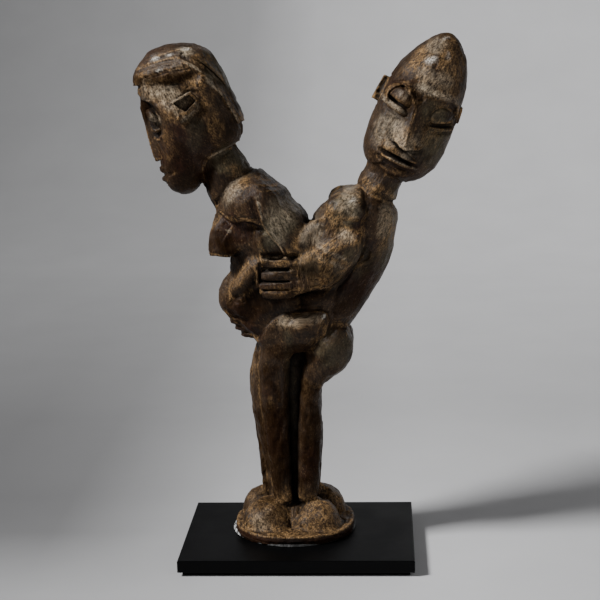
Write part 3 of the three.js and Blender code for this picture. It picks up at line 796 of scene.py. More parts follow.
def carve_man_body(wood):
    neck = [at(56, 0, 212, 10, 10, 10), at(50, 0, 203, 11, 11, 11), at(45.5, 0, 192, 11.6, 11.6, 12)]
    trunk = [
        at(44, 0, 197, 8, 10, 10), at(41, 0, 189, 18, 17.4, 19), at(38, 0, 178, 24.5, 19.6, 21.5),
        at(32.5, 0, 165, 26, 22.4, 20), at(25.5, 0, 151, 24, 21.6, 18), at(18, 0, 137, 20, 20.6, 18),
        at(12, 0, 125, 18, 17.6, 18), at(7, 0, 112, 14, 16, 17),
    ]
    beside_fork = [at(-7, -14, 188, 6, 6, 6), at(-3, -15, 177, 8, 10, 7), at(0.5, -15, 165, 7, 9, 7)]
    under_arm = [at(-19, -10, 170, 6, 6, 8), at(-8, -11, 165, 7, 7, 9), at(4, -12, 162, 6, 6, 10)]
    chest_near = [(7, -18, 180), (1.8, -21.2, 160), (27, -27, 171), (26, -22.3, 188)]
    chest_behind = [(5, -6, 176), (-1, -6, 159), (28, -6, 169), (27, -6, 184)]
    wood.add(Form(neck), 1.0)
    wood.add(Form(trunk, edge=2.3, ends=(0.14, 0.14)), 2.5)
    wood.add(Form(beside_fork, ends=(0.3, 0.3)), 4.0)
    for side in (list, far_side):
        wood.add(Form(side(under_arm), ends=(0.3, 0.3)), 4.0)
    wood.add(prism(chest_near, chest_behind, 2.6), 2.5)
    valley_floor = [at(8, -15, 177, 4.6, 4.6, 6), at(5.6, -16, 169, 4.6, 4.6, 6.4), at(2.6, -16, 162, 4.6, 4.6, 6)]
    wood.add(Form(valley_floor, ends=(0.3, 0.3)), 4.0)
    for side in (1, -1):
        carve_man_arm(wood, side)


def carve_man_arm(wood, side):
    """The shoulder, a flat-sided forearm and a blocky hand; side is 1 near the viewer, -1 beyond."""
    def sided(stations):
        return stations if side > 0 else far_side(stations)

    def section(*corners):
        return [(x, side * y, z) for x, y, z in corners]

    shoulder = [at(31, -14.5, 194.5, 8.5, 7.5, 6.6), at(30.5, -17, 188, 10.5, 9, 6.4), at(31, -17, 181, 8, 8, 5.8)]
    upper = [at(33, -17, 184, 8, 7, 6.5), at(31, -19, 173, 8.5, 8, 6.5), at(29, -18, 160, 8, 8, 6.5)]
    wood.add(Form(sided(shoulder), edge=2.8, ends=(0.4, 0.3)), 4.0)
    wood.add(Form(sided(upper), edge=2.3), 1.5)
    wrist = section((1, -14, 160.6), (1, -24.8, 158.4), (1, -24.4, 141.6), (1, -14, 140.4))
    middle = section((19, -14, 170.5), (19, -27, 165.6), (19, -25, 146), (19, -14, 143))
    elbow = section((37, -13, 178), (37, -26, 171), (37, -22.6, 160), (37, -13, 157))
    wood.add(prism(wrist, middle, 3.4), 2.5)
    wood.add(prism(middle, elbow, 3.4), 5.0)
    back_of_hand = section((10, -14, 160.4), (10, -24.6, 158.4), (10, -24.2, 143.4), (10, -14, 142))
    knuckles = section((-1, -14, 161.6), (-1, -24.2, 160.4), (-1.6, -23.6, 140.6), (-1.6, -14, 139.4))
    wood.add(prism(knuckles, back_of_hand, 1.6), 1.0)
    tips = section((-18, -12, 160), (-18, -19.4, 159.4), (-18, -19.4, 141.4), (-18, -12, 141))
    behind = section((1, -12, 160), (1, -21.6, 159.4), (1, -21.6, 141.4), (1, -12, 141))
    wood.add(prism(tips, behind, 0.8), 0.6)
    fingers = ((159.2, 2.2, -16), (152.5, 2.8, -17.4), (147, 2.1, -18), (142.3, 2.3, -16.4))
    for z, half, reach in fingers:
        finger = [
            at(1, -20.6, z, half, half, 4, 5), at(reach / 2, -20.6, z - 0.1, half, half, 4.2, 5),
            at(reach, -18.8, z - 0.4, half * 0.9, half * 0.9, 4, 5),
        ]
        wood.add(Form(sided(finger), edge=4, ends=(0.08, 0.1)), 0.3)
    end = [at(-18.2, -17.4, 161, 1.6, 1.6, 4), at(-19, -17.8, 153, 1.7, 1.7, 4.4), at(-18.8, -17, 145, 1.6, 1.6, 4)]
    wood.add(Form(sided(end), edge=2.6, ends=(0.2, 0.2)), 0.5)


def cut_man_marks(wood):
    """The carved steps, seams and ridges of the man's trunk, drawn from the side."""
    valley = [(9, 182, 0.6), (6.6, 177, 1.1), (4.8, 170.6, 1.2), (2.2, 162.3, 0.6)]
    wood.shift(Line([(x, z, 0.5 * depth) for x, z, depth in valley], 2.6, near=4))
    cap = [
        (19.6, 189.4), (20.8, 195.7), (26.2, 200.1), (35.2, 202), (39.6, 196.3), (39.4, 185.5), (37, 181.2),
        (32.1, 180.6), (27.7, 183), (23.3, 185.7),
    ]
    wood.shift(Area(cap, -0.6, 1.6, near=6))
    seam = [(36.5, 203, 0.8), (39.6, 198.1, 1.6), (40.6, 192.7, 1.7), (39.6, 185.5, 1.6), (37, 180, 1), (32, 178.6, 0.8)]
    wood.shift(Line([(x, z, depth / 3) for x, z, depth in seam], 2.4, near=5))
    arm_top = [(29, 176.6), (21.2, 171.2), (10.2, 165.4), (0.3, 160.4)]
    wood.shift(Ledge(arm_top[::-1], 0.9, 6, near=8))
    arm_low = [(38.6, 165.6), (34.8, 157.6), (28, 149), (18.9, 145), (8, 143.6), (-1, 139.6)]
    wood.shift(Ledge(arm_low, 1.7, 8, near=8))
    for x, low, high in ((4.4, 144.4, 160), (7.4, 145, 158.8)):
        wood.shift(Line([(x - 0.4, high, 0.3), (x, (low + high) / 2, 0.7), (x + 1.6, low, 0.3)], 1.0, near=10))
    flank = [(40, 171, 0.3), (37.8, 164, 0.8), (32, 154.5, 0.9), (27, 147.2, 0.8), (22.6, 138, 0.7), (21.5, 130.5, 0.3)]
    wood.shift(Line(flank, 2.2, near=5))
    wood.shift(Line([(x + 2.4, z - 1, -0.35) for x, z, depth in flank], 2.4, near=5))
    chest = [(8.4, 163.4, -0.4), (14.4, 168.4, -0.7), (21, 172.6, -0.7), (22.6, 180, -0.7), (21, 187, -0.4)]
    wood.shift(Line(chest, 2.4, near=6))


def carve_hips(wood, side):
    woman_hip = [at(-12, -7, 116.5, 11, 11, 9.5), at(2, -9.4, 121, 11, 9.6, 11.2), at(18, -8.6, 123.6, 8, 8, 9.4)]
    man_seat = [at(10, -7, 120, 10, 9, 9), at(18.5, -8, 110, 13, 13.8, 11.5), at(13, -7, 93, 11, 10, 9)]
    lap = [at(-12, -7, 108, 9, 9, 9), at(0, -8, 113, 6.6, 8, 9.6), at(13, -8, 112, 7, 8, 9.6)]
    behind_hip = [at(14, -8, 120, 7, 7, 9.4), at(22, -8, 118, 7, 7, 9), at(27, -6, 114, 6, 6, 8)]
    wood.add(Form(side(woman_hip), edge=2.3, ends=(0.3, 0.22)), 3.0)
    wood.add(Form(side(lap), ends=(0.3, 0.3)), 4.0)
    wood.add(Form(side(behind_hip), ends=(0.3, 0.3)), 4.0)
    thigh = [at(22, -7, 106, 9, 9, 8.6), at(14.4, -8, 97, 7, 7.4, 7.6), at(9, -8, 88.6, 5.4, 5.4, 6.6)]
    wood.add(Form(side(man_seat), ends=(0.4, 0.4)), 2.5)
    wood.add(Form(side(thigh), ends=(0.3, 0.3)), 4.0)


def cut_hip_marks(wood):
    crest = [
        (-18, 116), (-14.8, 122.6), (-11, 126.6), (-5.6, 129.3), (3.8, 130.8), (15, 131.8), (19, 130.2),
        (20, 125.4), (18.2, 119.4),
    ]
    wood.shift(Ledge(crest, 2.0, 8, near=5))
    seat_front = [(17.6, 119.6, 0.4), (13.4, 112, 0.7), (11.6, 105, 0.4)]
    wood.shift(Line(seat_front, 2.6, near=5))


def carve_legs(wood):
    woman_near = [
        at(-9, -5, 118, 9, 9, 11), at(-11.2, -5, 102, 8.6, 8, 10), at(-12.4, -5, 84, 7.8, 7.6, 7.6),
        at(-11, -5, 55, 6.6, 6, 6.6), at(-9, -6, 17, 4.6, 5, 6),
    ]
    woman_far = [
        at(-10, 6, 116, 9, 9, 8), at(-17, 7.5, 98, 8.5, 8, 7.5), at(-19.2, 7.5, 82, 8, 8, 7),
        at(-17, 7.5, 55, 7.5, 6.5, 6), at(-15, 7.5, 12, 6, 6, 6),
    ]
    man_near = [
        at(14, -5, 104, 7, 8, 8), at(9.8, -5, 91, 6.6, 6.4, 8), at(8.2, -5, 80, 6.2, 5.4, 7.4),
        at(6.4, -5, 55, 6, 7, 6.8), at(4.6, -6, 17, 5, 5.2, 6),
    ]
    man_far = [
        at(16, 6, 106, 8, 8, 8), at(9.4, 7.5, 93, 7, 6.6, 7.5), at(7, 7.5, 80, 6.6, 6.2, 7),
        at(7.2, 7.5, 50, 5.6, 6, 6), at(5, 7.5, 12, 5, 5, 6),
    ]
    calf = [at(-15, 0, 112, 7, 7, 8), at(-18, 1, 84, 7.4, 7, 6.6), at(-15.6, 1, 55, 6.6, 6, 6), at(-14, 1, 34, 4.4, 4.4, 4.4),
            at(-13.4, 0, 17, 4.4, 4.4, 4.6)]
    web = [at(-3, 3, 112, 8, 10, 5), at(-3, 3, 60, 8, 8, 4), at(-3, 3, 12, 7, 7, 4)]
    for leg in (woman_near, woman_far, man_near, man_far):
        wood.add(Form(leg, edge=2.5, ends=(0.1, 0.02)), 3.0)
    wood.add(Form(calf, ends=(0.1, 0.1)), 3.0)
    wood.add(Form(web, edge=3, ends=(0.1, 0.05)), 0.6)


def carve_foot(wood):
    wood.add(Disc(), 0.0)
    near_left = [
        at(-10.6, -8, 18.6, 7, 6, 6), at(-13.8, -8.4, 12.4, 13, 12.4, 11.6, 9), at(-15.8, -8.6, 6.6, 16, 14.6, 14.6, 10),
        at(-16.2, -8.6, 1, 16.6, 15, 15.6, 10),
    ]
    near_right = [
        at(5.6, -8, 18.2, 6.4, 6.4, 6), at(8, -8.4, 12.4, 12.4, 11, 11.6, 9), at(9.4, -8.6, 6.6, 15, 13.4, 14.6, 10),
        at(9.8, -8.6, 1, 15.4, 14.4, 15.6, 10),
    ]
    far_left = [at(-16, 9, 21.5, 8, 8, 6, 8), at(-18, 9, 10, 15, 15, 10, 14), at(-18, 9, 1.5, 15, 15, 10, 14)]
    far_right = [at(7, 9, 21.5, 8, 8, 6, 8), at(9.5, 9, 10, 15, 15, 10, 14), at(9.5, 9, 1.5, 15, 15, 10, 14)]
    middle = [at(-3, 0, 17.5, 7, 7, 10), at(-3, 0, 8, 9, 9, 14), at(-3, 0, 2, 9, 9, 16)]
    wood.add(Form(middle, ends=(0.2, 0.05)), 0.8)
    between = [at(-4, -8, 15.6, 5, 5, 4.6), at(-4.4, -8, 7, 7, 7, 8.6), at(-4.4, -8, 1, 7, 7, 10.6)]
    wood.add(Form(between, ends=(0.3, 0.02)), 1.5)
    for mound in (near_left, near_right, far_left, far_right):
        wood.add(Form(mound, edge=2.5, ends=(0.4, 0.02)), 1.2)
    wood.shift(Line([(-5.4, 5.6, 0.4), (-4.7, 11, 0.8), (-4, 19, 0.5)], 1.4, near=9))
    wood.shift(Line([(-23, 21, 0.3), (-18.5, 19.8, 1.1), (-14, 20.4, 0.3)], 0.9, near=8))


class Disc:
    """The round foot, a disc with softened edges."""

    low = np.array((FOOT_CENTRE_X - FOOT_RADIUS_X, -FOOT_RADIUS_Y, 0.0))
    high = np.array((FOOT_CENTRE_X + FOOT_RADIUS_X, FOOT_RADIUS_Y, FOOT_THICKNESS))

    def distance(self, box):
        x, y, z = box
        soft = 0.6
        square = 2.3
        wide = np.abs((x - FOOT_CENTRE_X) / FOOT_RADIUS_X) ** square
        radial = (wide + np.abs(y / FOOT_RADIUS_Y) ** square) ** (1 / square)
        out = (radial - 1) * FOOT_RADIUS_Y + soft
        half = (FOOT_THICKNESS - CLEARANCE) / 2
        up = np.abs(z - CLEARANCE - half) - half + soft
        outside = np.sqrt(np.maximum(out, 0) ** 2 + np.maximum(up, 0) ** 2)
        return (outside + np.minimum(np.maximum(out, up), 0) - soft).astype(np.float32)


def carve_couple():
    wood = Carving()
    carve_foot(wood)
    carve_legs(wood)
    for side in (list, far_side):
        carve_hips(wood, side)
    carve_woman_body(wood)
    carve_man_body(wood)
    cut_woman_marks(wood)
    cut_man_marks(wood)
    cut_hip_marks(wood)
    carve_woman_head(wood)
    carve_man_head(wood)
    return wood


# Meshes

def mesh_piece(name, points, faces):
    """A piece of mesh from points in the figure's own millimetres."""
    mesh = bpy.data.meshes.new(name)
    mesh.from_pydata([], [], [])
    mesh.vertices.add(len(points))
    mesh.vertices.foreach_set("co", ((points + FIGURE_PLACE) * MM).astype(np.float32).ravel())
    mesh.loops.add(faces.size)
    mesh.loops.foreach_set("vertex_index", faces.astype(np.int32).ravel())
    mesh.polygons.add(len(faces))
    mesh.polygons.foreach_set("loop_start", np.arange(len(faces), dtype=np.int32) * faces.shape[1])
    mesh.update(calc_edges=True)
    mesh.validate()
    piece = bpy.data.objects.new(name, mesh)
    bpy.context.scene.collection.objects.link(piece)
    return piece


def apply_modifiers(piece):
    graph = bpy.context.evaluated_depsgraph_get()
    mesh = bpy.data.meshes.new_from_object(piece.evaluated_get(graph))
    piece.modifiers.clear()
    mesh.validate()
    piece.data = mesh


def thin_out(piece, limit):
    """Fewer faces where the surface is even."""
    triangles = sum(len(face.vertices) - 2 for face in piece.data.polygons)
    if triangles > limit:
        fewer = piece.modifiers.new("fewer", "DECIMATE")
        fewer.ratio = limit / triangles
        apply_modifiers(piece)


def keep_largest_part(piece):
    """Drops loose bits, such as bubbles inside the wood."""
    mesh = piece.data
    ends = np.empty(len(mesh.edges) * 2, np.int32)
    mesh.edges.foreach_get("vertices", ends)
    first, second = ends.reshape(-1, 2).T
    label = np.arange(len(mesh.vertices))
    while (label[first] != label[second]).any():
        lower = np.minimum(label[first], label[second])
        np.minimum.at(label, label[first], lower)
        np.minimum.at(label, label[second], lower)
        label = label[label]
    loose = np.flatnonzero(label != np.bincount(label).argmax())
    shape = bmesh.new()
    shape.from_mesh(mesh)
    shape.verts.ensure_lookup_table()
    bmesh.ops.delete(shape, geom=[shape.verts[k] for k in loose], context="VERTS")
    shape.to_mesh(mesh)
    shape.free()


# Knife facets, grain and wear

RANDOM = np.random.default_rng(11)
LATTICE = RANDOM.random((32, 32, 32)).astype(np.float32)


def lumps(places, size, seed=0):
    """Smooth noise from 0 to 1 at places, its lumps about size across. size may differ by axis."""
    scaled = places / np.array(size) + 7.31 * seed + 100
    k = np.floor(scaled).astype(np.int32)
    t = (scaled - k).astype(np.float32)
    t = t * t * (3 - 2 * t)
    total = np.zeros(len(places), np.float32)
    for corner in np.ndindex(2, 2, 2):
        weight = np.prod(np.where(corner, t, 1 - t), axis=1)
        i, j, m = ((k + corner) % 32).T
        total += weight * LATTICE[i, j, m]
    return total


def grain_places(points):
    """Places bent so that the third runs along the wood: up the legs, then out along either trunk."""
    x, y, z = points.T
    over = np.maximum(z - 112, 0)
    right = ramp(x - 4 - 0.1 * over, -8, 8)
    bend = over * (-0.31 * (1 - right) + 0.45 * right)
    return np.stack([x - bend, y, z], 1)


def facets(points, normals, flat):
    """How far out each point moves so that the surface turns into flat knife cuts."""
    cell = 6.5
    cells = np.floor((points + RANDOM.random(3) * cell) / cell).astype(int)
    order = RANDOM.permutation(len(points))
    seeds = order[np.unique(cells[order], axis=0, return_index=True)[1]]
    seeds = seeds[flat[seeds] > 0.3]
    tree = KDTree(len(seeds))
    for k, seed in enumerate(seeds):
        tree.insert(points[seed], k)
    tree.balance()
    near = np.array([[found[1] for found in tree.find_n(point, 4)] for point in points])
    places = points[seeds][near]
    ways = normals[seeds][near]
    gaps = np.linalg.norm(places - points[:, None], axis=2)
    lean = (ways * normals[:, None]).sum(2)
    rise = ((places - points[:, None]) * ways).sum(2) / np.maximum(lean, 0.4)
    weight = np.exp(-(gaps ** 2 - gaps[:, :1] ** 2) / 5.0) * (lean > 0.6)
    total = weight.sum(1)
    return np.where(total > 0, (weight * rise).sum(1) / np.maximum(total, 1e-6), 0)


def roughen(wood, points):
    """Knife facets where the wood is even, then grain, dents and pits."""
    fine = wood.slope(points)
    coarse = wood.slope(points, 3.0)
    flat = ramp((fine * coarse).sum(1), 0.93, 0.99)
    out = np.clip(facets(points, coarse, flat), -0.5, 0.5) * flat
    along_grain = grain_places(points)
    dents = lumps(points, (7, 7, 9), 1) - 0.5
    grain = lumps(along_grain, (1.3, 1.3, 14), 2) - 0.5
    small = lumps(points, (2.1, 2.1, 2.1), 3) - 0.5
    pits = ramp(lumps(along_grain, (1.6, 1.6, 3.2), 4), 0.78, 0.9)
    return points + fine * (out + 0.35 * dents + 0.22 * grain + 0.18 * small - 0.3 * pits)[:, None]


def openness(wood, points, ways):
    """1 where a place is open to the air, towards 0 in grooves and hollows."""
    total = 0
    reaches = (1.5, 3.0, 6.0, 10.0)
    for reach in reaches:
        total = total + np.clip(wood.read(points + ways * reach) / reach, 0, 1)
    return total / len(reaches)


def sharpness(wood, points, ways, reach=1.6):
    """0 on even wood, rising towards 1 on edges that stand out."""
    return np.clip(1 + (wood.read(points - ways * reach) - wood.read(points)) / reach, 0, 1)


# Stains, worn places and painted light. The darker spots are painted shade along with darker patina, the
# paler ones painted highlights along with a whitish bloom, and the glints painted highlights. Each spot is a
# place in the viewer's plane, how far it reaches across and up, how much it is turned clockwise in degrees,
# and its strength.
STAINS_AND_PAINTED_LIGHT = {
    "ochre": [
        (-62, 250, 17, 6, 10, 1.0), (-50, 247, 9, 9, 0, 0.8), (-39, 232, 3.6, 9, 0, 0.8), (-66, 225, 6, 10, 0, 0.4),
        (-45, 268, 6, 3, 0, 0.9), (-48, 256.6, 6, 3, 0, 0.9), (71, 264, 11, 6, -50, 0.85), (84, 266, 4, 12, 10, 0.9), (88, 257, 6, 14, 12, 0.6), (-8, 144.5, 9, 3.2, 0, 0.6),
        (78, 250, 13, 6, 24, 0.85), (60, 244, 8, 4, 20, 0.4), (57, 220, 9, 6, 20, 0.5), (48, 197, 9, 3, 30, 1.0),
        (30, 175.5, 8, 4.6, 10, 1.0), (22, 186, 7, 3, 60, 0.6), (-28, 206, 9, 4, 40, 0.7), (-3, 161, 8, 3, -30, 0.8),
        (-29, 150, 4, 12, 40, 0.5), (-15, 14, 16, 12, 0, 0.75), (11, 14, 17, 12, 0, 0.85), (-3, 6.4, 36, 1.8, 0, 1.0),
        (-25, 98, 3, 12, 0, 0.4), (-14, 78, 2, 5, 0, 0.5), (5, 84, 3, 10, 0, 0.3), (52, 176, 5, 16, 12, 0.7),
        (-2, 125, 14, 4, -6, 0.4), (62, 226, 6, 7, 20, 0.7), (75, 228, 5, 9, 20, 0.5), (56, 219, 7, 2.6, 30, 0.9), (-60, 240, 9, 5, 30, 0.5), (14, 150, 8, 3, 20, 0.3),
    ],
    "maroon": [
        (-58, 220, 15, 15, 20, 1.0), (-32, 176, 12, 10, 0, 0.9), (-13, 65, 5, 30, 0, 0.7), (7, 42, 5, 12, 0, 0.9),
        (38, 150, 8, 22, 24, 0.8), (20, 158, 12, 8, 26, 0.9), (60, 252, 8, 8, 20, 0.7), (76, 258, 4, 8, 10, 0.4),
        (-30, 124, 14, 12, 0, 0.8), (-20, 190, 6, 10, 0, 0.5), (-70, 268, 14, 7, 10, 0.5), (-3, 1.5, 38, 3, 0, 1.0),
        (37, 180, 4, 5, 0, 0.8), (62, 206, 10, 6, 20, 0.6), (-10, 146, 14, 4, 0, 0.6),
    ],
    "green": [
        (-32, 214, 9, 9, 30, 0.8), (54, 176, 6, 22, 10, 0.7), (-4, 182, 9, 15, 25, 1.0), (38, 160, 8, 10, 0, 0.5),
        (78, 240, 6, 5, 20, 0.8), (79, 224, 8, 12, 20, 0.9), (22, 108, 10, 10, 0, 0.6), (-3, 80, 3, 40, 0, 0.5), (30, 188, 8, 9, 0, 0.6),
        (-50, 232, 6, 10, 0, 0.5), (-36, 262, 6, 12, -40, 0.8), (76, 228, 6, 9, 20, 0.4), (17, 157, 16, 8, 26, 0.5),
    ],
    "painted_shade_and_dark_patina": [
        (-15, 56, 13, 44, 0, 0.9), (7, 58, 8, 42, 0, 0.85), (-60, 212, 13, 15, -10, 0.6), (-46, 206, 5, 9, 10, 0.9),
        (-35, 169, 10, 9, 0, 0.9), (-20, 176, 4, 8, 0, 0.5), (-26, 132, 13, 16, 0, 0.75), (-3, 138, 20, 7, 0, 0.6),
        (34, 140, 7, 22, 26, 0.65), (0, 108, 16, 8, 0, 0.75), (74, 236, 6, 12, 20, 0.3), (64, 202, 10, 7, 20, 0.6),
        (-79.5, 240, 4.5, 12, 14, 0.9), (-64, 259.4, 16, 4.2, -7, 0.85), (-3, 1.3, 90, 3.0, 0, 0.6), (-79, 258.6, 7, 3.4, 0, 0.9), (15, 153, 17, 7, 25, 0.7),
        (66, 243, 4, 9, 22, 0.7), (-40, 231, 11, 12, -20, 0.5), (58, 256, 5, 9, 24, 0.6), (-44, 242, 3, 9, -30, 0.4),
    ],
    "painted_highlight_and_pale_bloom": [
        (-32, 197, 4, 8, 25, 0.45), (-54, 272, 5, 2.5, 15, 0.9), (-62, 268, 14, 6, -10, 0.18), (78, 248.6, 11, 2.8, 24, 1.0), (57.5, 242.2, 8, 1.7, 34, 1.0), (61.4, 248.4, 4.4, 3, 34, 0.7),
        (57, 229, 7, 10, 22, 0.6), (49.5, 229, 4, 9, 20, 0.5), (58.4, 213, 8.5, 0.7, 28, 1.0), (64, 220, 4, 8, 30, 0.7), (33, 190, 6, 8, 0, 0.7), (2, 126, 12, 3, -5, 0.5),
        (30, 174.5, 6, 3.6, 10, 0.7), (-20, 11, 6, 5, 0, 0.4), (80, 273, 6, 4, 0, 0.5), (-64, 249.6, 13, 6, 14, 0.85), (-72, 238.8, 2.8, 2.8, 0, 0.8),
        (13, 176, 6, 8, 30, 0.5), (-5, 184, 8, 14, 25, 0.6), (-34, 176.4, 1.6, 0.8, 0, 0.9), (-27.7, 173.2, 1.8, 0.7, 0, 0.9), (52, 182, 4, 12, 10, 0.5), (69, 222, 2.6, 1.6, 0, 0.9),
        (-50, 265.5, 8, 0.7, 33, 1.0), (-38.8, 254, 8, 0.7, 50, 1.0), (-31, 242, 8, 0.7, 62, 1.0),
        (-41, 262, 8, 0.6, 50, 0.8), (-37, 219.6, 11, 0.6, -27, 0.9), (-56, 250.6, 6, 0.8, -24, 0.9),
        (-48.6, 246, 4, 0.8, 60, 0.7), (-54, 238.6, 4.6, 0.8, -38, 0.8), (-9, 176, 0.7, 10, -24, 0.7),
        (-16, 190, 0.7, 8, -12, 0.7), (-8, 161.8, 9, 0.8, 0, 0.7), (-8, 155.4, 9, 0.8, 0, 0.7),
        (-8, 149.2, 9, 0.7, 0, 0.6), (20, 166, 12, 0.9, 24, 0.5), (22, 160, 10, 0.8, 26, 0.5), (79, 256, 9, 6, 20, 0.5),
    ],
    "glint": [
        (75.2, 265.6, 3.4, 1.6, -14, 1.0), (85, 267.4, 0.7, 2, 5, 1.0), (84, 276.8, 2, 0.5, 0, 0.8),
        (-70.5, 269.6, 2.6, 0.7, -14, 1.0), (-67.5, 263.6, 2.8, 0.7, -12, 0.9), (-62, 271.6, 2.2, 0.5, -8, 0.8),
        (-54, 274.4, 2.4, 0.7, 0, 0.7), (17, 128.5, 0.9, 1.5, 20, 0.9), (34, 193, 1.6, 1.4, 0, 0.5),
    ],
}


def patch_strength(points, spots, seed):
    """How strongly a patch lies on each point, whether stained wood or painted light and shade, its spots given ragged
    edges.
    """
    x, z = points[:, 0], points[:, 2]
    ragged = 0.9 * (lumps(points, (6, 6, 6), seed) + 0.6 * lumps(points, (2.2, 2.2, 2.2), seed + 1) - 0.8)
    total = np.zeros(len(points), np.float32)
    for here_x, here_z, wide, high, degrees, strength in spots:
        c, s = math.cos(math.radians(degrees)), math.sin(math.radians(degrees))
        right = ((x - here_x) * c - (z - here_z) * s) / wide
        up = ((x - here_x) * s + (z - here_z) * c) / high
        share = ramp(1.35 - np.sqrt(right ** 2 + up ** 2) + ragged, 0, 0.9)
        total = np.maximum(total, strength * share)
    return total


def write_values(piece, name, values):
    """Values kept on the piece's points, for its material."""
    kind = "FLOAT" if values.ndim == 1 else "FLOAT_VECTOR"
    attribute = piece.data.attributes.new(name, kind, "POINT")
    attribute.data.foreach_set("value" if values.ndim == 1 else "vector", values.astype(np.float32).ravel())


wood = carve_couple()
points, faces = surface(wood.value)
figure = mesh_piece("carved_couple", roughen(wood, points), faces)
thin_out(figure, FACE_LIMIT)
keep_largest_part(figure)
figure.data.shade_smooth()

points = np.empty(len(figure.data.vertices) * 3, np.float32)
figure.data.vertices.foreach_get("co", points)
points = points.reshape(-1, 3) / MM - FIGURE_PLACE
ways = wood.slope(points, 1.0)
write_values(figure, "openness", openness(wood, points, ways))
write_values(figure, "sharpness", sharpness(wood, points, ways))
write_values(figure, "grain", grain_places(points) * MM)
for k, (name, spots) in enumerate(STAINS_AND_PAINTED_LIGHT.items()):
    write_values(figure, name, patch_strength(points, spots, 10 + 3 * k))


# Materials

class Look:
    """A material and short ways to add nodes to it."""

    def __init__(self, name):
        self.made = bpy.data.materials.new(name)
        self.made.use_nodes = True
        self.nodes = self.made.node_tree.nodes
        self.links = self.made.node_tree.links
        self.shader = self.nodes["Principled BSDF"]

    def put(self, socket, value):
        if isinstance(value, bpy.types.NodeSocket):
            self.links.new(value, socket)
        elif isinstance(value, tuple) and len(value) == 3 and socket.type == "RGBA":
            socket.default_value = (*value, 1)
        else:
            socket.default_value = value

    def value(self, name):
        node = self.nodes.new("ShaderNodeAttribute")
        node.attribute_name = name
        return node.outputs["Vector"] if name == "grain" else node.outputs["Fac"]

    def places(self):
        return self.nodes.new("ShaderNodeTexCoord").outputs["Object"]

    def along(self, axis, places):
        node = self.nodes.new("ShaderNodeSeparateXYZ")
        self.put(node.inputs["Vector"], places)
        return node.outputs[axis]

    def stretch(self, places, scale):
        node = self.nodes.new("ShaderNodeMapping")
        self.put(node.inputs["Vector"], places)
        self.put(node.inputs["Scale"], scale)
        return node.outputs["Vector"]

    def noise(self, places, scale, detail=4.0, rough=0.55):
        node = self.nodes.new("ShaderNodeTexNoise")
        self.put(node.inputs["Vector"], places)
        self.put(node.inputs["Scale"], scale)
        self.put(node.inputs["Detail"], detail)
        self.put(node.inputs["Roughness"], rough)
        return node.outputs["Fac"]

    def cells(self, places, scale):
        node = self.nodes.new("ShaderNodeTexVoronoi")
        self.put(node.inputs["Vector"], places)
        self.put(node.inputs["Scale"], scale)
        return node.outputs["Distance"]

    def span(self, value, low, high, to_low=0.0, to_high=1.0):
        node = self.nodes.new("ShaderNodeMapRange")
        for socket, given in zip(node.inputs, (value, low, high, to_low, to_high)):
            self.put(socket, given)
        return node.outputs["Result"]

    def sum(self, kind, a, b):
        node = self.nodes.new("ShaderNodeMath")
        node.operation = kind
        node.use_clamp = True
        self.put(node.inputs[0], a)
        self.put(node.inputs[1], b)
        return node.outputs["Value"]

    def mix(self, share, a, b, blend="MIX"):
        node = self.nodes.new("ShaderNodeMix")
        node.data_type = "RGBA"
        node.blend_type = blend
        self.put(node.inputs[0], share)
        a_socket, b_socket = (socket for socket in node.inputs if socket.type == "RGBA")
        self.put(a_socket, a)
        self.put(b_socket, b)
        return next(socket for socket in node.outputs if socket.type == "RGBA")

    def bump(self, height, strength, distance, before=None):
        node = self.nodes.new("ShaderNodeBump")
        self.put(node.inputs["Height"], height)
        self.put(node.inputs["Strength"], strength)
        self.put(node.inputs["Distance"], distance)
        if before is not None:
            self.put(node.inputs["Normal"], before)
        return node.outputs["Normal"]

    def finish(self, piece):
        piece.data.materials.clear()
        piece.data.materials.append(self.made)


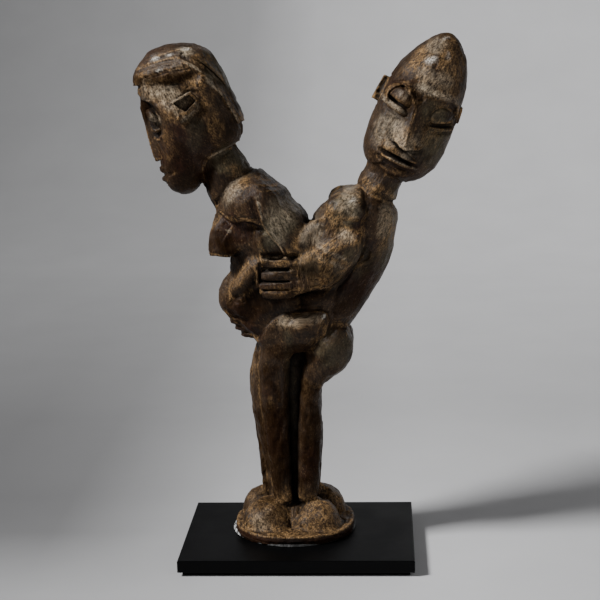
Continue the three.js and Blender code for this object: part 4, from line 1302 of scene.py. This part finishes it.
def patinated_wood():
    look = Look("carved_wood")
    grain = look.value("grain")
    open_air = look.value("openness")
    streaks = look.noise(look.stretch(grain, (1, 1, 0.12)), 900, 6)
    clouds = look.noise(grain, 90, 5)
    mottle = look.noise(look.stretch(grain, (1, 1, 0.45)), 520, 6, 0.75)
    speckle = look.noise(look.stretch(grain, (1, 1, 0.6)), 1200, 4, 0.75)
    colour = look.mix(look.span(clouds, 0.35, 0.65), (0.021, 0.0115, 0.0062), (0.066, 0.037, 0.0185))
    colour = look.mix(look.span(streaks, 0.45, 0.75, 0, 0.65), colour, (0.125, 0.070, 0.032))
    maroon = look.sum("MULTIPLY", look.value("maroon"), look.span(mottle, 0.3, 0.6, 0.35, 0.95))
    colour = look.mix(maroon, colour, (0.040, 0.0125, 0.0068))
    green = look.sum("MULTIPLY", look.value("green"), look.span(mottle, 0.3, 0.62, 0.3, 1))
    colour = look.mix(green, colour, (0.135, 0.113, 0.064))
    edges = look.span(look.value("sharpness"), 0.05, 0.25, 0, 0.95)
    edges = look.sum("MULTIPLY", edges, look.span(look.value("painted_shade_and_dark_patina"), 0.4, 0.85, 1, 0.3))
    worn = look.sum("ADD", edges, look.value("ochre"))
    ochre = look.sum("MULTIPLY", worn, look.span(mottle, 0.4, 0.58))
    ochre = look.sum("MULTIPLY", ochre, look.span(speckle, 0.4, 0.54, 0.2, 1))
    colour = look.mix(ochre, colour, (0.46, 0.27, 0.112))
    # Painted highlights on lit crests, brows, cheeks and shoulders, along with a whitish bloom on the wood.
    painted_highlight_and_pale_bloom = look.sum("MULTIPLY", look.value("painted_highlight_and_pale_bloom"), look.span(mottle, 0.36, 0.54))
    painted_highlight_and_pale_bloom = look.sum("MULTIPLY", painted_highlight_and_pale_bloom, look.span(speckle, 0.38, 0.5, 0.35, 1))
    colour = look.mix(look.sum("MULTIPLY", painted_highlight_and_pale_bloom, 0.95), colour, (0.58, 0.47, 0.33))
    flecks = look.sum("MULTIPLY", look.span(speckle, 0.61, 0.68), look.span(clouds, 0.4, 0.6))
    colour = look.mix(look.sum("MULTIPLY", flecks, 0.6), colour, (0.48, 0.32, 0.16))
    colour = look.mix(0.85, colour, look.span(speckle, 0.36, 0.6, 0.25, 1), "MULTIPLY")
    # Painted shade under brows, hair, breasts and on the lower body, along with the darker patina of the legs and the
    # foot's rim.
    shaded = look.sum("MULTIPLY", look.value("painted_shade_and_dark_patina"), look.span(mottle, 0.3, 0.7, 0.95, 0.6))
    colour = look.mix(shaded, colour, (0.0165, 0.0080, 0.0036))
    rim = look.span(look.along("Z", grain), 0.0041, 0.005, 0.9, 0)
    colour = look.mix(rim, colour, (0.026, 0.0105, 0.0055))
    pores = look.span(look.cells(look.stretch(grain, (1, 1, 0.35)), 900), 0.08, 0.24)
    colour = look.mix(look.span(pores, 0, 1, 0.6, 0), colour, (0.010, 0.006, 0.004))
    # Painted shade: grooves and hollows turn nearly black the more closed in they are.
    painted_shade_and_dark_patina = look.span(open_air, 0.3, 0.84, 1, 0)
    colour = look.mix(look.sum("MULTIPLY", painted_shade_and_dark_patina, 0.92), colour, (0.006, 0.0032, 0.0020))
    # Painted glints: small bright highlights where polished wood catches the lamp.
    glint = look.sum("MULTIPLY", look.value("glint"), look.span(speckle, 0.4, 0.54))
    glint = look.sum("MULTIPLY", glint, look.span(mottle, 0.34, 0.52))
    colour = look.mix(glint, colour, (0.84, 0.79, 0.70))
    look.put(look.shader.inputs["Base Color"], colour)
    look.put(look.shader.inputs["Specular IOR Level"], look.span(shaded, 0.1, 0.75, 0.2, 0.0))
    rough = look.span(mottle, 0.42, 0.62, 0.3, 0.6)
    rough = look.sum("ADD", rough, look.sum("MULTIPLY", ochre, 0.2))
    rough = look.sum("ADD", rough, look.sum("MULTIPLY", painted_shade_and_dark_patina, 0.3))
    look.put(look.shader.inputs["Roughness"], rough)
    normal = look.bump(streaks, 0.5, 0.0004)
    normal = look.bump(mottle, 0.55, 0.0008, normal)
    normal = look.bump(speckle, 0.4, 0.0004, normal)
    normal = look.bump(pores, 0.4, 0.0003, normal)
    look.put(look.shader.inputs["Normal"], normal)
    return look


def black_lacquer():
    look = Look("plinth_black")
    places = look.places()
    clouds = look.noise(places, 30, 4)
    fine = look.noise(places, 2600, 2)
    look.put(look.shader.inputs["Base Color"], look.mix(clouds, (0.0016, 0.0016, 0.0018), (0.003, 0.003, 0.0032)))
    look.put(look.shader.inputs["Specular IOR Level"], 0.07)
    look.put(look.shader.inputs["Roughness"], look.span(clouds, 0.3, 0.7, 0.36, 0.5))
    look.put(look.shader.inputs["Normal"], look.bump(fine, 0.12, 0.0001))
    return look


def clear_wax():
    look = Look("wax")
    places = look.places()
    lumps_seen = look.noise(places, 260, 3)
    colour = look.mix(look.span(lumps_seen, 0.4, 0.7), (0.006, 0.006, 0.006), (0.03, 0.03, 0.029))
    # Painted highlight: the bead's left end turns nearly white.
    painted_wax_highlight = look.sum("MULTIPLY", look.span(look.along("X", places), -0.036, -0.026, 1, 0), look.span(lumps_seen, 0.4, 0.6))
    colour = look.mix(painted_wax_highlight, colour, (0.75, 0.75, 0.74))
    look.put(look.shader.inputs["Base Color"], colour)
    dull = look.span(look.along("X", places), -0.033, -0.02, 0.07, 0.6)
    look.put(look.shader.inputs["Roughness"], dull)
    look.put(look.shader.inputs["Normal"], look.bump(lumps_seen, 0.7, 0.0015))
    return look


patinated_wood().finish(figure)
black_lacquer().finish(frame["nodes"]["plinth"])
clear_wax().finish(frame["nodes"]["mounting_wax"])


# Floor, light and camera

def backdrop():
    """A floor that turns up into a wall behind the object."""
    front, back, side, high, bend = -3.0, 1.6, 4.0, 3.0, 0.8
    profile = [(front, 0.0), (back - bend, 0.0)]
    for k in range(1, 17):
        angle = k / 16 * math.pi / 2
        profile.append((back - bend + bend * math.sin(angle), bend - bend * math.cos(angle)))
    profile.append((back, high))
    vertices = [(x, y, z) for y, z in profile for x in (-side, side)]
    quads = [(2 * k, 2 * k + 1, 2 * k + 3, 2 * k + 2) for k in range(len(profile) - 1)]
    mesh = bpy.data.meshes.new("floor")
    mesh.from_pydata(vertices, [], quads)
    mesh.shade_smooth()
    piece = bpy.data.objects.new("floor", mesh)
    bpy.context.scene.collection.objects.link(piece)
    look = Look("floor_grey")
    places = look.places()
    mottle = look.noise(places, 14, 5)
    specks = look.noise(places, 700, 2, 0.7)
    colour = look.mix(look.span(mottle, 0.3, 0.7), (0.69, 0.69, 0.7), (0.73, 0.73, 0.74))
    colour = look.mix(look.span(specks, 0.68, 0.76, 0, 0.35), colour, (0.9, 0.9, 0.9))
    # Painted shade: darker towards the left.
    colour = look.mix(1.0, colour, look.span(look.along("X", places), -0.6, 0.08, 0.48, 1.0), "MULTIPLY")
    across, away = look.along("X", places), look.along("Y", places)
    level = look.span(away, 0.25, 0.85, 1, 0)
    close = look.sum("MULTIPLY", look.span(away, -0.07, 0.02), look.span(away, 0.08, 0.3, 1, 0.5))
    # Painted shade on the floor and wall: darker towards the left, a painted soft shadow to the left just behind the
    # front, and darker further back.
    shades = (
        (look.span(across, -0.22, 0.06, 0.52, 0), level),
        (look.span(across, -0.15, -0.045, 0.6, 0), close),
        (look.span(away, 0.0, 0.3, 0.07, 0.31), level),
    )
    for shade, reach in shades:
        colour = look.mix(look.sum("MULTIPLY", shade, reach), colour, (0.03, 0.03, 0.031))
    look.put(look.shader.inputs["Base Color"], colour)
    look.put(look.shader.inputs["Roughness"], 0.9)
    look.put(look.shader.inputs["Normal"], look.bump(specks, 0.1, 0.0005))
    look.finish(piece)
    return piece


backdrop()


def soft_light(name, place, aim, size, power, colour=(1, 1, 1)):
    lamp = bpy.data.lights.new(name, "AREA")
    lamp.shape = "RECTANGLE"
    lamp.size, lamp.size_y = size
    lamp.energy = power
    lamp.color = colour
    piece = bpy.data.objects.new(name, lamp)
    piece.location = place
    piece.rotation_euler = (Vector(aim) - Vector(place)).to_track_quat("-Z", "Y").to_euler()
    bpy.context.scene.collection.objects.link(piece)


soft_light("key", (-1.04, -0.4, 1.2), (0, 0, 0.13), (0.28, 0.28), 35)
soft_light("fill", (1.3, -1.0, 0.8), (0, 0, 0.12), (0.6, 0.6), 3)
soft_light("wall", (0.9, 0.5, 0.9), (0.75, 1.6, 0.25), (0.5, 0.5), 6)

world = bpy.data.worlds.new("studio")
world.use_nodes = True
world.node_tree.nodes["Background"].inputs["Color"].default_value = (0.6, 0.6, 0.61, 1)
world.node_tree.nodes["Background"].inputs["Strength"].default_value = 0.13
bpy.context.scene.world = world

# The camera's place comes from a fit to the plinth's corners in the photograph.
CAMERA_TURN = math.radians(3.570)
CAMERA_RISE = math.radians(12.329)
CAMERA_ROLL = math.radians(-1.449)
CAMERA_TARGET = Vector((3.351, 0.0, 135.57 + PLINTH_HIGH[2])) * MM
CAMERA_AWAY = 774.803 * MM
SENSOR = 36.0
LENS = SENSOR * 1395.217 / 600

camera_data = bpy.data.cameras.new("camera")
camera_data.sensor_width = SENSOR
camera_data.lens = LENS
camera_data.clip_start = 0.01
camera_data.clip_end = 20
camera = bpy.data.objects.new("camera", camera_data)
toward = Vector((
    math.sin(CAMERA_TURN) * math.cos(CAMERA_RISE),
    -math.cos(CAMERA_TURN) * math.cos(CAMERA_RISE),
    math.sin(CAMERA_RISE),
))
level = Vector((math.cos(CAMERA_TURN), math.sin(CAMERA_TURN), 0))
upward = toward.cross(level)
right = math.cos(CAMERA_ROLL) * level + math.sin(CAMERA_ROLL) * upward
up = -math.sin(CAMERA_ROLL) * level + math.cos(CAMERA_ROLL) * upward
camera.matrix_world = Matrix.Translation(CAMERA_TARGET + toward * CAMERA_AWAY) @ Matrix(
    (right, up, toward)).transposed().to_4x4()
bpy.context.scene.collection.objects.link(camera)
bpy.context.scene.camera = camera

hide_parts("figure")
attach(figure, "root")
